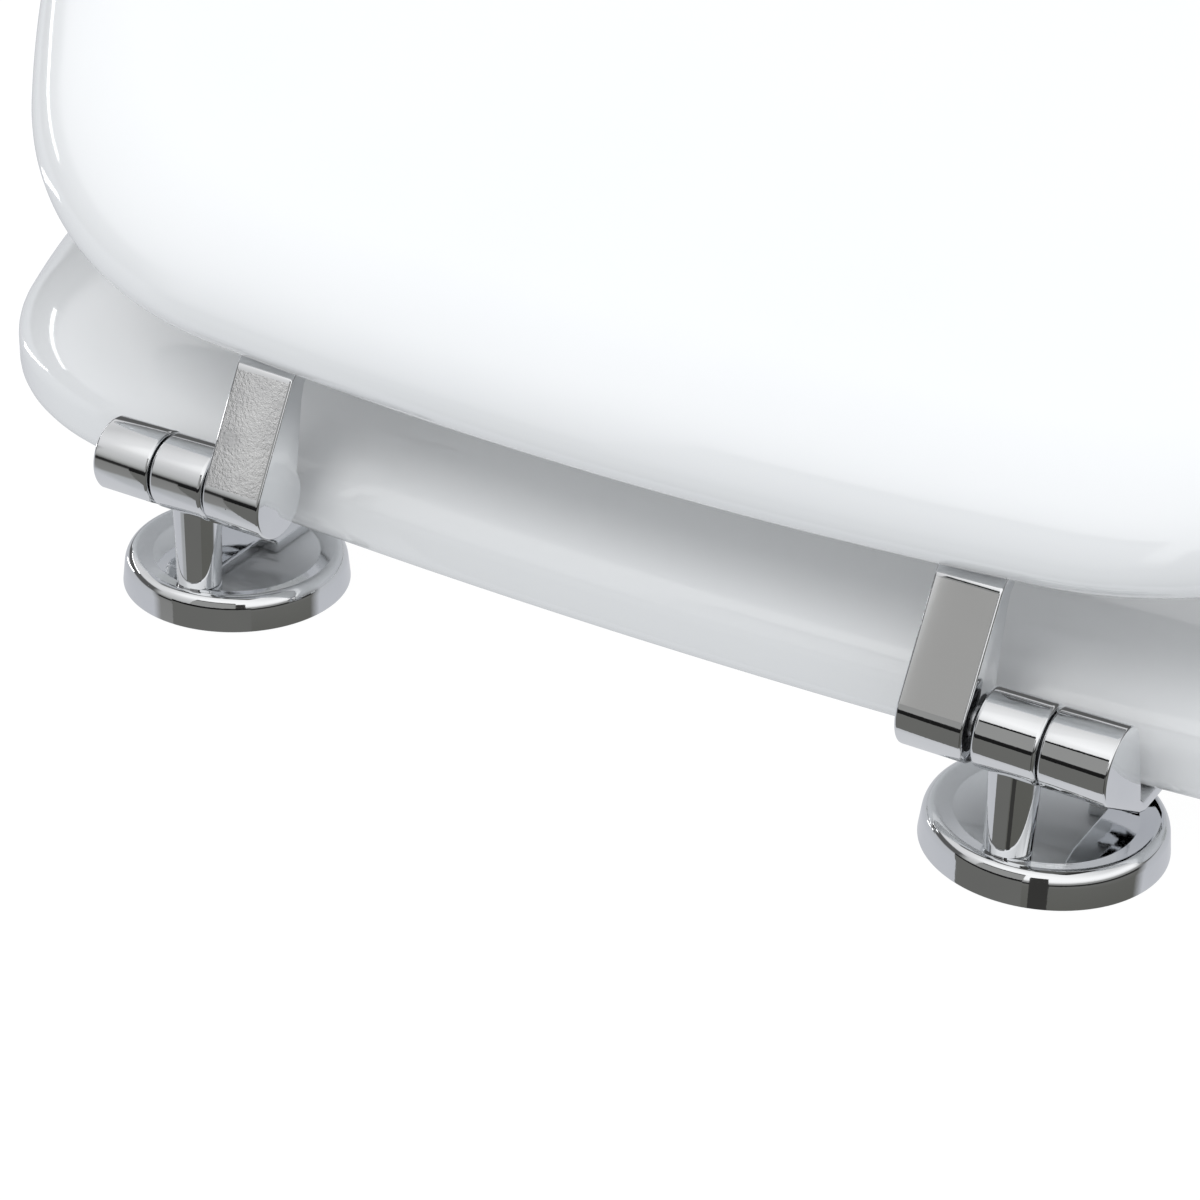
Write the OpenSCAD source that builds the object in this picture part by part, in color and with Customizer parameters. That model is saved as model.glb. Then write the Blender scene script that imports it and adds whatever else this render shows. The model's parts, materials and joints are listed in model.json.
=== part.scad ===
// Toilet seat: a moulded ring and lid on two chromed pillar hinges.
// The origin lies midway between the two fixing holes, on the top face of the pan.
// +X runs along the hinge axis, +Y towards the nose of the seat and +Z up, in millimetres.
// The lid stands part open, as it does when it is left on its stiff hinges.

/* [Seat ring] */
// Half of the greatest width of the ring
ring_half_w = 184.5; // [178:0.5:192]
// Distance from the hinge axis to the nose of the ring
ring_nose = 432; // [415:1:450]
// Distance from the hinge axis to the middle of the back edge of the ring
ring_back = 9.6; // [9:0.1:11]
// Half width of the gently bowed back edge of the ring
ring_back_half = 106; // [100:1:112]
// Turn of the back edge where it meets the corner of the ring, in degrees
ring_back_turn = 5.8; // [4:0.2:8]
// Radius of the back corners of the ring
ring_corner_r = 57; // [50:1:62]
// Turn of the outline at the far end of the back corner of the ring, in degrees
ring_corner_turn = 66; // [60:1:70]
// Thickness of the ring at its crown
ring_t = 19; // [17:0.5:22]
// Height of the underside of the ring over the pan
ring_lift = 13.4; // [12.8:0.1:14]
// Width of the rounding over the outer edge of the ring
ring_outer_round_w = 24; // [18:1:28]
// Depth of the rounding over the outer edge of the ring
ring_outer_round_h = 11.5; // [9:0.5:12.5]
// Width of the rounding over the inner edge of the ring
ring_inner_round_w = 17; // [12:1:22]
// Depth of the rounding over the inner edge of the ring
ring_inner_round_h = 9; // [7:0.5:11]
// Radius of the lower edges of the ring
ring_under_r = 3.5; // [2:0.5:4.5]

/* [Opening] */
// Half of the greatest width of the opening
hole_half_w = 113; // [105:1:118]
// Distance from the hinge axis to the back of the opening
hole_back = 97; // [90:1:104]
// Distance from the hinge axis to the front of the opening
hole_front = 365; // [350:1:375]
// Distance from the hinge axis to the widest line of the opening
hole_widest = 214; // [205:1:225]
// Squareness of the opening, where 2 is an ellipse
hole_power = 2.2; // [2:0.1:2.5]

/* [Lid] */
// Half of the greatest width of the lid
lid_half_w = 181; // [175:0.5:188]
// Distance from the hinge axis to the nose of the lid
lid_nose = 430; // [412:1:448]
// Distance from the hinge axis to the middle of the back edge of the lid
lid_back = 10.4; // [9.5:0.1:12]
// Half width of the gently bowed back edge of the lid
lid_back_half = 77; // [72:1:84]
// Turn of the back edge where it meets the corner of the lid, in degrees
lid_back_turn = 5; // [3:0.2:6]
// Radius of the back corners of the lid
lid_corner_r = 77.5; // [70:0.5:84]
// Turn of the outline at the far end of the back corner of the lid, in degrees
lid_corner_turn = 58; // [54:1:62]
// Height of the underside of the closed lid over the hinge axis
lid_rise = 17.1; // [16.5:0.1:18.5]
// Thickness of the lid where its rounded edge ends
lid_t = 16.5; // [14:0.5:19]
// Further rise of the domed top of the lid at its middle
lid_crown = 3; // [1:0.5:5]
// Width of the rounding over the upper edge of the lid
lid_round_w = 26; // [18:1:32]
// Radius of the lower edge of the lid
lid_under_r = 6; // [4:0.5:7]
// Angle at which the lid stands open, in degrees
lid_open = 28; // [0:1:60]

/* [Hinge] */
// Distance between the two fixing holes
fixing_spacing = 157; // [149:1:165]
// Distance between the two pillars
pillar_spacing = 155; // [149:1:161]
// Distance from the fixing holes back to the hinge axis
axis_back = 12.6; // [11:0.1:13]
// Height of the hinge axis over the pan
axis_h = 25.8; // [25:0.1:27]
// Radius of the hinge barrels
barrel_r = 6.65; // [6:0.05:7]
// Width of the eye on each pillar
eye_w = 10.9; // [9:0.1:12]
// Width of the knuckle on each seat arm
seat_knuckle_w = 11.4; // [10:0.1:13]
// Width of each lid arm
lid_arm_w = 11.5; // [10:0.1:13]
// Radius of the rounded ends of the barrels
barrel_edge_r = 0.8; // [0.3:0.1:1.2]
// Thickness of the bush collar between two knuckles
collar_t = 0.35; // [0.3:0.05:0.6]
// Side play of the lid along the pins
side_play = 0.9; // [0.2:0.1:1.2]
// Radius of the hinge pin
pin_r = 2.5; // [2:0.1:2.8]
// Wall of the bush round the pin
bush_wall = 1; // [0.8:0.1:1.3]

/* [Pillar and cover] */
// Radius of the foot of the pillar
pillar_foot_r = 3.95; // [3.6:0.05:4.3]
// Radius of the pillar under its eye
pillar_top_r = 4.25; // [4:0.05:4.6]
// Radius of the round cover at its foot
cover_r = 20.2; // [19:0.1:20.6]
// Height of the rim of the round cover
cover_h = 6.4; // [6:0.1:7]
// Radius of the rounding over the rim of the round cover
cover_rim_r = 2.4; // [1.8:0.1:2.8]
// Radius of the lip between the rim and the flat disc of the round cover
cover_lip_r = 0.35; // [0.2:0.05:0.35]
// Depth of the flat disc below the rim of the round cover
cover_dish = 0.8; // [0.75:0.05:1.2]
// Wall of the round cover
cover_wall = 1.1; // [0.9:0.1:1.3]
// Thickness of the rubber pad under the base plate
pad_t = 1; // [0.8:0.1:1.4]
// Radius of the threaded fixing hole
fixing_hole_r = 3.4; // [3:0.1:4]

/* [Arms and screws] */
// Thickness of the leaf under the ring
seat_leaf_t = 2.5; // [2:0.1:3]
// Thickness of the leaf under the lid
lid_leaf_t = 3.2; // [2.5:0.1:3.5]
// Distance from the hinge axis to the end of each leaf
leaf_end = 62; // [56:1:68]
// Width of the hidden part of each leaf
leaf_w = 18; // [16:0.5:20]
// Distance from the end of a leaf to its outer screw
leaf_screw_inset = 9; // [8:0.5:11]
// Distance between the two screws in a leaf
leaf_screw_pitch = 17; // [14:0.5:19]
// Radius of the head of a wood screw
screw_head_r = 3.5; // [3:0.1:4]
// Radius of the shank of a wood screw
screw_shank_r = 1.75; // [1.5:0.05:2]
// Length of a wood screw
screw_len = 15; // [12:0.5:16]

/* [Buffers] */
// Radius of the round buffers under the ring
ring_buffer_r = 11; // [9:0.5:13]
// Radius of the round buffers under the lid
lid_buffer_r = 9; // [7:0.5:11]
// Radius of the peg that holds a buffer
peg_r = 3; // [2.5:0.1:4]
// Length of the peg that holds a buffer
peg_len = 8; // [6:0.5:9]
// Distance of the back buffers from the side of the ring
back_buffer_inset = 56; // [48:1:62]
// Distance from the hinge axis to the back buffers
back_buffer_y = 92; // [84:1:98]
// Distance of the front buffers from the side of the ring
front_buffer_inset = 82; // [76:1:88]
// Distance of the front buffers from the nose of the ring
front_buffer_back = 88; // [80:1:94]

/* [Hidden] */
$fn = 64;

// Clearances: of turning and bedded pieces, and of the lid's buffers over the ring
fit = 0.05;
rest_gap = 0.3;
knuckle_gap = collar_t + fit;

// Levels over the pan
pad_top = pad_t;
disc_top = cover_h - cover_dish;
plate_top = disc_top - cover_wall - fit;
ring_top = ring_lift + ring_t;
lid_under = axis_h + lid_rise;

// Places along the hinge axis, for the hinge on the right
fixing_mid = fixing_spacing / 2;
eye_mid = pillar_spacing / 2;
eye_out = eye_mid + eye_w / 2;
eye_in = eye_mid - eye_w / 2;
seat_knuckle_in = eye_out + knuckle_gap;
seat_knuckle_out = seat_knuckle_in + seat_knuckle_w;
lid_knuckle_out = eye_in - knuckle_gap;
lid_knuckle_in = lid_knuckle_out - lid_arm_w;
closed_end = 2;
pin_short = 0.5;
pin_in = lid_knuckle_in + closed_end + pin_short;
pin_out = seat_knuckle_out - closed_end;

// Section of the covers, and what lies under them
cover_foot_h = 0.6;
cover_foot_step = 0.35;
cover_wall_r = cover_r - cover_foot_step;
cover_inner_r = cover_wall_r - cover_wall;
cover_bevel = 1.5;
plate_r = cover_inner_r - cover_bevel - 0.2;
pad_r = cover_inner_r - 0.4;

// Screws of the pillars
pillar_screw_r = 2;
pillar_screw_head_r = 3.8;
pillar_screw_len = 15;
pillar_screw_head_h = pillar_screw_head_r - pillar_screw_r;

// Wood screws
screw_head_h = screw_head_r - screw_shank_r;
screw_tip_h = 4;
screw_tip_r = 0.3;
hole_spare = 0.5;

// Profile of the seat arms: where the drop of the arm ends, ahead of the hinge axis
seat_drop_y = 10.2;
seat_leaf_y = seat_drop_y + 1.2;

// Profile of the lid arms: slope of the rear face, heel under the lid and start of the leaf
lid_arm_rake = 32.5;
lid_heel_r = 4.5;
lid_heel_y = (cos(lid_arm_rake) * (lid_rise - lid_heel_r) - barrel_r + lid_heel_r) / sin(lid_arm_rake);
lid_leaf_y = lid_heel_y + 3.2;

// Buffers
buffer_edge_r = 1.5;
buffer_taper = 1;
peg_bevel = 0.8;
lid_buffer_inset = 46.5;
lid_buffer_back = 128;

// Fineness of the moulded surfaces
back_steps = 6;
corner_steps = 8;
side_steps = 7;
nose_steps = 15;
round_steps = 6;
fillet_steps = 3;

WHITE = [0.96, 0.96, 0.96];
CHROME = [0.78, 0.79, 0.8];
ZINC = [0.6, 0.61, 0.62];
STEEL = [0.68, 0.69, 0.7];
NYLON = [0.2, 0.2, 0.21];
RUBBER = [0.88, 0.88, 0.86];

// Points on an arc about a centre, from angle a0 up to, and not with, angle a1
function arc(centre, r, a0, a1, steps) = [
    for (i = [0 : steps - 1]) let (a = a0 + (a1 - a0) * i / steps) centre + r * [cos(a), sin(a)]
];

// Right half of a seat outline, from the middle of its back edge to its nose.
// A bowed back edge, a round corner and a long side arc meet on common tangents,
// and a quarter of an ellipse closes the nose.
function half_outline(back, back_half, back_turn, corner_r, corner_turn, half_w, nose) =
    let (
        back_r = back_half / sin(back_turn),
        corner_start = [back_half, back + back_r * (1 - cos(back_turn))],
        corner_mid = corner_start + corner_r * [-sin(back_turn), cos(back_turn)],
        corner_end = corner_mid + corner_r * [sin(corner_turn), -cos(corner_turn)],
        side_r = (half_w - corner_end.x) / (1 - sin(corner_turn)),
        widest = corner_end.y + side_r * cos(corner_turn)
    )
    concat(
        arc([0, back + back_r], back_r, -90, back_turn - 90, back_steps),
        arc(corner_mid, corner_r, back_turn - 90, corner_turn - 90, corner_steps),
        arc([half_w - side_r, widest], side_r, corner_turn - 90, 0, side_steps),
        [for (i = [0 : nose_steps]) let (a = 90 * i / nose_steps)
            [half_w * cos(a), widest + (nose - widest) * sin(a)]]
    );

// The whole outline, anticlockwise from the middle of the back edge
function whole_outline(half) = concat(half, [for (i = [len(half) - 2 : -1 : 1]) [-half[i].x, half[i].y]]);

ring_outline = whole_outline(half_outline(ring_back, ring_back_half, ring_back_turn, ring_corner_r,
    ring_corner_turn, ring_half_w, ring_nose));
lid_outline = whole_outline(half_outline(lid_back, lid_back_half, lid_back_turn, lid_corner_r,
    lid_corner_turn, lid_half_w, lid_nose));
hole_mid = [0, hole_widest];

// Distance from the middle of the opening to its edge, in the direction of unit vector u
function hole_reach(u) =
    let (depth = u.y < 0 ? hole_widest - hole_back : hole_front - hole_widest)
    pow(pow(abs(u.x) / hole_half_w, hole_power) + pow(abs(u.y) / depth, hole_power), -1 / hole_power);

// Section of the ring, up its outer edge, over the crown and down its inner edge.
// Each point tells its edge, its inset from that edge and its height over the underside.
ring_section = concat(
    [for (i = [0 : fillet_steps]) let (a = 90 * i / fillet_steps)
        ["outer", ring_under_r * (1 - sin(a)), ring_under_r * (1 - cos(a))]],
    [for (i = [0 : round_steps]) let (a = 90 * i / round_steps)
        ["outer", ring_outer_round_w * (1 - cos(a)), ring_t - ring_outer_round_h * (1 - sin(a))]],
    [for (i = [0 : round_steps]) let (a = 90 * i / round_steps)
        ["inner", ring_inner_round_w * (1 - sin(a)), ring_t - ring_inner_round_h * (1 - cos(a))]],
    [for (i = [0 : fillet_steps]) let (a = 90 * i / fillet_steps)
        ["inner", ring_under_r * (1 - cos(a)), ring_under_r * (1 - sin(a))]]
);

// Section of the lid's rim, as inset from the outer edge and height over the underside
lid_round_h = lid_t - lid_under_r;
lid_rim = concat(
    [for (i = [0 : fillet_steps]) let (a = 90 * i / fillet_steps)
        [lid_under_r * (1 - sin(a)), lid_under_r * (1 - cos(a))]],
    [for (i = [1 : round_steps]) let (a = 90 * i / round_steps)
        [lid_round_w * (1 - cos(a)), lid_under_r + lid_round_h * sin(a)]]
);
lid_rings = [0.8, 0.55, 0.28];

// Faces that join rows of points in a closed loop of stations.
// Row i holds its points from low to high on the outer side.
function loft_faces(stations, rows) = [
    for (i = [0 : stations - 1], j = [0 : rows - 2])
        let (a = i * rows + j, b = ((i + 1) % stations) * rows + j)
        each [[a, a + 1, b], [a + 1, b + 1, b]]
];

// Moves from the closed place of the lid to the angle at which it stands
module lid_pose() {
    translate([0, 0, axis_h]) rotate([lid_open, 0, 0]) translate([0, 0, -axis_h]) children();
}

// Carries a piece that is modelled from the hinge axis to its place behind the fixing holes
module from_axis() {
    translate([0, -axis_back, 0]) children();
}

// The hinge on the left is the mirror image of the one on the right
module on_side(side) {
    if (side < 0) mirror([1, 0, 0]) children();
    else children();
}

// A round bar along X with rounded ends
module barrel(x0, x1, r, edge) {
    translate([x0, 0, 0]) rotate([90, 0, 90]) rotate_extrude() polygon(concat(
        [[0, 0]],
        arc([r - edge, edge], edge, -90, 0, 6),
        arc([r - edge, x1 - x0 - edge], edge, 0, 90, 6),
        [[r - edge, x1 - x0], [0, x1 - x0]]
    ));
}

// A straight round bar along X
module rod(x0, x1, r) {
    translate([x0, 0, 0]) rotate([0, 90, 0]) cylinder(r = r, h = x1 - x0);
}

// A countersunk wood screw that points up, with its head at height 0
module wood_screw() {
    cylinder(r1 = screw_head_r, r2 = screw_shank_r, h = screw_head_h);
    translate([0, 0, screw_head_h]) cylinder(r = screw_shank_r, h = screw_len - screw_head_h - screw_tip_h);
    translate([0, 0, screw_len - screw_tip_h])
        cylinder(r1 = screw_shank_r, r2 = screw_tip_r, h = screw_tip_h);
}

// The hole that a wood screw fills, from the lower face of its leaf into the wood
module screw_hole() {
    translate([0, 0, -1]) cylinder(r = screw_head_r + fit, h = 1);
    cylinder(r1 = screw_head_r + fit, r2 = screw_shank_r + fit, h = screw_head_h);
    cylinder(r = screw_shank_r + fit, h = screw_len + hole_spare);
}

// Places of the two screws in a leaf
module leaf_screws(x) {
    for (i = [0, 1]) translate([x, leaf_end - leaf_screw_inset - i * leaf_screw_pitch, 0]) children();
}

// A leaf seen from above: as wide as its arm at the back, wider and round-ended ahead
module leaf_plan(x0, x1, y0) {
    mid = (x0 + x1) / 2;
    wide_from = leaf_end - leaf_screw_inset - leaf_screw_pitch - leaf_w / 2;
    translate([x0, y0]) square([x1 - x0, leaf_end - leaf_w / 2 - y0]);
    translate([mid, leaf_end - leaf_w / 2]) circle(r = leaf_w / 2);
    translate([mid - leaf_w / 2, wide_from]) square([leaf_w, leaf_end - leaf_w / 2 - wide_from]);
}

// Round cover that hides the base plate, turned from thin sheet
module cover(side) {
    under = disc_top - cover_wall;
    top_r = cover_wall_r - cover_rim_r;
    disc_r = top_r - 2 * cover_lip_r;
    outer = concat(
        [[cover_r, 0], [cover_r, cover_foot_h], [cover_wall_r, 2 * cover_foot_h]],
        arc([top_r, cover_h - cover_rim_r], cover_rim_r, 0, 90, 10),
        arc([top_r, cover_h - cover_lip_r], cover_lip_r, 90, 180, 5),
        arc([disc_r, disc_top + cover_lip_r], cover_lip_r, 360, 270, 5)
    );
    on_side(side) color(CHROME) difference() {
        translate([fixing_mid, 0, 0]) rotate_extrude($fn = 96) polygon(concat(
            outer,
            [[disc_r, disc_top], [0, disc_top], [0, under],
             [cover_inner_r - cover_bevel, under], [cover_inner_r, under - cover_bevel], [cover_inner_r, 0]]
        ));
        translate([eye_mid, -axis_back, 0]) cylinder(r = pillar_foot_r + fit, h = cover_h);
    }
}

// Cast plate that carries the pillar and takes the fixing stud
module base_plate(side) {
    on_side(side) color(ZINC) difference() {
        translate([fixing_mid, 0, pad_top]) cylinder(r = plate_r, h = plate_top - pad_top);
        translate([fixing_mid, 0, 0]) cylinder(r = fixing_hole_r, h = cover_h);
        translate([eye_mid, -axis_back, 0]) cylinder(r = pillar_screw_r + fit, h = cover_h);
        translate([eye_mid, -axis_back, pad_top])
            cylinder(r1 = pillar_screw_head_r + fit, r2 = pillar_screw_r + fit, h = pillar_screw_head_h);
    }
}

// Soft pad between the base plate and the pan
module base_pad(side) {
    on_side(side) color(RUBBER) difference() {
        translate([fixing_mid, 0, 0]) cylinder(r = pad_r, h = pad_t);
        translate([fixing_mid, 0, -1]) cylinder(r = fixing_hole_r + 1, h = pad_t + 2);
        translate([eye_mid, -axis_back, -1]) cylinder(r = pillar_screw_r + 1, h = pad_t + 2);
    }
}

// Pillar with the eye that carries the hinge pin
module pillar(side) {
    on_side(side) from_axis() color(CHROME) difference() {
        union() {
            translate([eye_mid, 0, plate_top]) cylinder(r = pillar_foot_r, h = disc_top - plate_top);
            translate([eye_mid, 0, disc_top])
                cylinder(r1 = pillar_foot_r, r2 = pillar_top_r, h = axis_h - disc_top);
            translate([0, 0, axis_h]) barrel(eye_in, eye_out, barrel_r, barrel_edge_r);
        }
        translate([0, 0, axis_h]) rod(eye_in - 1, eye_out + 1, pin_r + fit + bush_wall + fit);
        translate([eye_mid, 0, 0])
            cylinder(r = pillar_screw_r + fit, h = pad_top + pillar_screw_len + hole_spare);
    }
}

// Screw from below that clamps the pillar to its plate
module pillar_screw(side) {
    on_side(side) from_axis() color(STEEL) translate([eye_mid, 0, pad_top]) {
        cylinder(r1 = pillar_screw_head_r, r2 = pillar_screw_r, h = pillar_screw_head_h);
        translate([0, 0, pillar_screw_head_h])
            cylinder(r = pillar_screw_r, h = pillar_screw_len - pillar_screw_head_h);
    }
}

// Two collared bushes that line the eye, one from each side
module eye_bush(side) {
    half = eye_w / 2 - fit;
    on_side(side) from_axis() color(NYLON) translate([eye_mid, 0, axis_h])
        for (turn = [0, 1]) mirror([turn, 0, 0]) difference() {
            union() {
                rod(fit, half + fit, pin_r + fit + bush_wall);
                rod(eye_w / 2, eye_w / 2 + collar_t, barrel_r - 1.6);
            }
            rod(-1, eye_w, pin_r + fit);
        }
}

// Steel pin, fixed in the seat arm, on which eye and lid arm turn
module hinge_pin(side) {
    on_side(side) from_axis() color(STEEL) translate([0, 0, axis_h])
        barrel(pin_in, pin_out, pin_r, 0.4);
}

// Ring that is sat on, domed all round and flat below
module seat_ring() {
    stations = len(ring_outline);
    rows = len(ring_section);
    points = [for (p = ring_outline)
        let (
            reach = norm(p - hole_mid),
            u = (p - hole_mid) / reach,
            edge = hole_mid + hole_reach(u) * u
        )
        for (s = ring_section)
            let (q = s[0] == "outer" ? p - s[1] * u : edge + s[1] * u)
            [q.x, q.y, ring_lift + s[2]]
    ];
    closing = [for (i = [0 : stations - 1])
        let (a = i * rows, b = ((i + 1) % stations) * rows)
        each [[a + rows - 1, a, b], [a + rows - 1, b, b + rows - 1]]
    ];
    from_axis() color(WHITE) difference() {
        polyhedron(points = points, faces = concat(loft_faces(stations, rows), closing));
        for (side = [-1, 1]) {
            leaf_screws(seat_arm_mid(side)) translate([0, 0, ring_lift - seat_leaf_t]) screw_hole();
            ring_buffer_place(side, true) peg_hole();
            ring_buffer_place(side, false) peg_hole();
        }
    }
}

// Place of a buffer on the underside of the ring
module ring_buffer_place(side, back) {
    x = ring_half_w - (back ? back_buffer_inset : front_buffer_inset);
    y = back ? back_buffer_y : ring_nose - front_buffer_back;
    translate([side * x, y, ring_lift]) children();
}

// Hole that takes the peg of a buffer, upward from height 0
module peg_hole() {
    translate([0, 0, -1]) cylinder(r = peg_r + fit, h = peg_len + 1 + hole_spare);
}

// Round buffer with a peg, hanging from height 0
module buffer(r, h) {
    foot_r = r - buffer_taper;
    rotate_extrude() polygon(concat(
        [[0, -h]],
        arc([foot_r - buffer_edge_r, buffer_edge_r - h], buffer_edge_r, -90, 0, 6),
        [[foot_r, buffer_edge_r - h], [r, 0], [peg_r, 0], [peg_r, peg_len - peg_bevel],
         [peg_r - peg_bevel, peg_len], [0, peg_len]]
    ));
}

// Buffer under the ring
module ring_buffer(side, back) {
    from_axis() color(RUBBER) ring_buffer_place(side, back) buffer(ring_buffer_r, ring_lift);
}

// Middle of a seat arm along the hinge axis
function seat_arm_mid(side) = side * (seat_knuckle_in + seat_knuckle_out) / 2;

// Seat arm: the outer knuckle of the hinge, its drop and the leaf under the ring
module seat_arm(side) {
    top = ring_lift - axis_h;
    low = top - seat_leaf_t;
    leaf_wide_y = leaf_end - leaf_w / 2;
    drop = [
        [barrel_r - 0.2, 1.6], [seat_drop_y - 0.8, top + 4.6], [seat_drop_y, top + 1.2],
        [seat_leaf_y, top], [leaf_wide_y, top], [leaf_wide_y, low], [seat_leaf_y + 1.2, low],
        [seat_drop_y - 0.2, low + 1], [-0.7 * barrel_r, -0.72 * barrel_r], [0, 0]
    ];
    on_side(side) from_axis() color(CHROME) difference() {
        union() {
            translate([0, 0, axis_h]) {
                barrel(seat_knuckle_in, seat_knuckle_out, barrel_r, barrel_edge_r);
                translate([seat_knuckle_in, 0, 0]) rotate([90, 0, 90])
                    linear_extrude(seat_knuckle_w) polygon(drop);
            }
            translate([0, 0, ring_lift - seat_leaf_t]) linear_extrude(seat_leaf_t)
                leaf_plan(seat_knuckle_in, seat_knuckle_out, seat_leaf_y);
        }
        translate([0, 0, axis_h]) rod(seat_knuckle_in - 1, pin_out + fit, pin_r + fit / 2);
        leaf_screws(seat_arm_mid(1)) translate([0, 0, ring_lift - seat_leaf_t]) screw_hole();
    }
}

// The four screws that hold the seat arms to the ring
module seat_arm_screws() {
    for (side = [-1, 1]) from_axis() color(STEEL)
        leaf_screws(seat_arm_mid(side)) translate([0, 0, ring_lift - seat_leaf_t]) wood_screw();
}

// Lid: flat below, rounded over at its edge and slightly domed
module lid() {
    stations = len(lid_outline);
    rows = len(lid_rim) + len(lid_rings);
    edge_h = lid_rim[len(lid_rim) - 1].y;
    points = [for (p = lid_outline)
        let (
            reach = norm(p - hole_mid),
            u = (p - hole_mid) / reach,
            flat_reach = reach - lid_round_w
        )
        for (j = [0 : rows - 1])
            let (
                on_rim = j < len(lid_rim),
                share = on_rim ? 1 : lid_rings[j - len(lid_rim)],
                q = on_rim ? p - lid_rim[j].x * u : hole_mid + flat_reach * share * u,
                h = on_rim ? lid_rim[j].y : edge_h + lid_crown * (1 - share * share)
            )
            [q.x, q.y, lid_under + h]
    ];
    peak = len(points);
    fan = [for (i = [0 : stations - 1])
        [i * rows + rows - 1, peak, ((i + 1) % stations) * rows + rows - 1]];
    underside = [for (i = [0 : stations - 1]) i * rows];
    from_axis() lid_pose() color(WHITE) difference() {
        polyhedron(
            points = concat(points, [[hole_mid.x, hole_mid.y, lid_under + edge_h + lid_crown]]),
            faces = concat(loft_faces(stations, rows), fan, [underside])
        );
        for (side = [-1, 1]) {
            leaf_screws(lid_arm_mid(side)) translate([0, 0, lid_under - lid_leaf_t]) screw_hole();
            lid_buffer_place(side) peg_hole();
        }
    }
}

// Middle of a lid arm along the hinge axis: the side play lies on the right
function lid_arm_mid(side) =
    side * (lid_knuckle_in + lid_knuckle_out) / 2 - (side > 0 ? side_play : 0);

// Lid arm: the inner knuckle, its raked arm and the leaf under the lid, as it lies closed
module lid_arm(side) {
    x0 = lid_arm_mid(side) - lid_arm_w / 2;
    x1 = lid_arm_mid(side) + lid_arm_w / 2;
    low = lid_rise - lid_leaf_t;
    leaf_wide_y = leaf_end - leaf_w / 2;
    arm = concat(
        [[0, 0], barrel_r * [-sin(lid_arm_rake), cos(lid_arm_rake)]],
        arc([lid_heel_y, lid_rise - lid_heel_r], lid_heel_r, 90 + lid_arm_rake, 90, 6),
        [[lid_heel_y, lid_rise], [leaf_wide_y, lid_rise], [leaf_wide_y, low], [lid_leaf_y, low],
         [lid_heel_y + 0.4, low - 0.8], [lid_heel_y - 1.4, low - 2.6], [barrel_r, 0.5]]
    );
    bore_end = side > 0 ? x0 + closed_end : x1 - closed_end;
    from_axis() lid_pose() color(CHROME) difference() {
        union() {
            translate([0, 0, axis_h]) {
                barrel(x0, x1, barrel_r, barrel_edge_r);
                translate([x0, 0, 0]) rotate([90, 0, 90]) linear_extrude(lid_arm_w) polygon(arm);
            }
            translate([0, 0, lid_under - lid_leaf_t]) linear_extrude(lid_leaf_t)
                leaf_plan(x0, x1, lid_leaf_y);
        }
        translate([0, 0, axis_h]) rod(
            side > 0 ? bore_end : x0 - 1, side > 0 ? x1 + 1 : bore_end, pin_r + fit);
        leaf_screws(lid_arm_mid(side)) translate([0, 0, lid_under - lid_leaf_t]) screw_hole();
    }
}

// The four screws that hold the lid arms to the lid
module lid_arm_screws() {
    for (side = [-1, 1]) from_axis() lid_pose() color(STEEL)
        leaf_screws(lid_arm_mid(side)) translate([0, 0, lid_under - lid_leaf_t]) wood_screw();
}

// Place of a buffer on the underside of the lid, over the flank of the ring
module lid_buffer_place(side) {
    translate([side * (lid_half_w - lid_buffer_inset), lid_nose - lid_buffer_back, lid_under]) children();
}

// Buffer under the lid, which rests on the ring when the lid is closed
module lid_buffer(side) {
    from_axis() lid_pose() color(RUBBER) lid_buffer_place(side)
        buffer(lid_buffer_r, lid_under - ring_top - rest_gap);
}

cover(-1);  // cover_left
cover(1);  // cover_right
base_plate(-1);  // base_plate_left
base_plate(1);  // base_plate_right
base_pad(-1);  // base_pad_left
base_pad(1);  // base_pad_right
pillar(-1);  // pillar_left
pillar(1);  // pillar_right
pillar_screw(-1);  // pillar_screw_left
pillar_screw(1);  // pillar_screw_right
eye_bush(-1);  // eye_bush_left
eye_bush(1);  // eye_bush_right
hinge_pin(-1);  // hinge_pin_left
hinge_pin(1);  // hinge_pin_right
seat_ring();
seat_arm(-1);  // seat_arm_left
seat_arm(1);  // seat_arm_right
seat_arm_screws();
ring_buffer(-1, true);  // ring_buffer_back_left
ring_buffer(1, true);  // ring_buffer_back_right
ring_buffer(-1, false);  // ring_buffer_front_left
ring_buffer(1, false);  // ring_buffer_front_right
lid();
lid_arm(-1);  // lid_arm_left
lid_arm(1);  // lid_arm_right
lid_arm_screws();
lid_buffer(-1);  // lid_buffer_left
lid_buffer(1);  // lid_buffer_right
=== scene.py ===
"""Looks of the toilet seat: lacquered ring and lid on polished three-knuckle hinges, in a white studio."""
import sys

import json
import logging
import math
from collections.abc import Sequence
from dataclasses import dataclass, field
from enum import Enum

import bmesh
import bpy
from mathutils import Matrix, Vector


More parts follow.
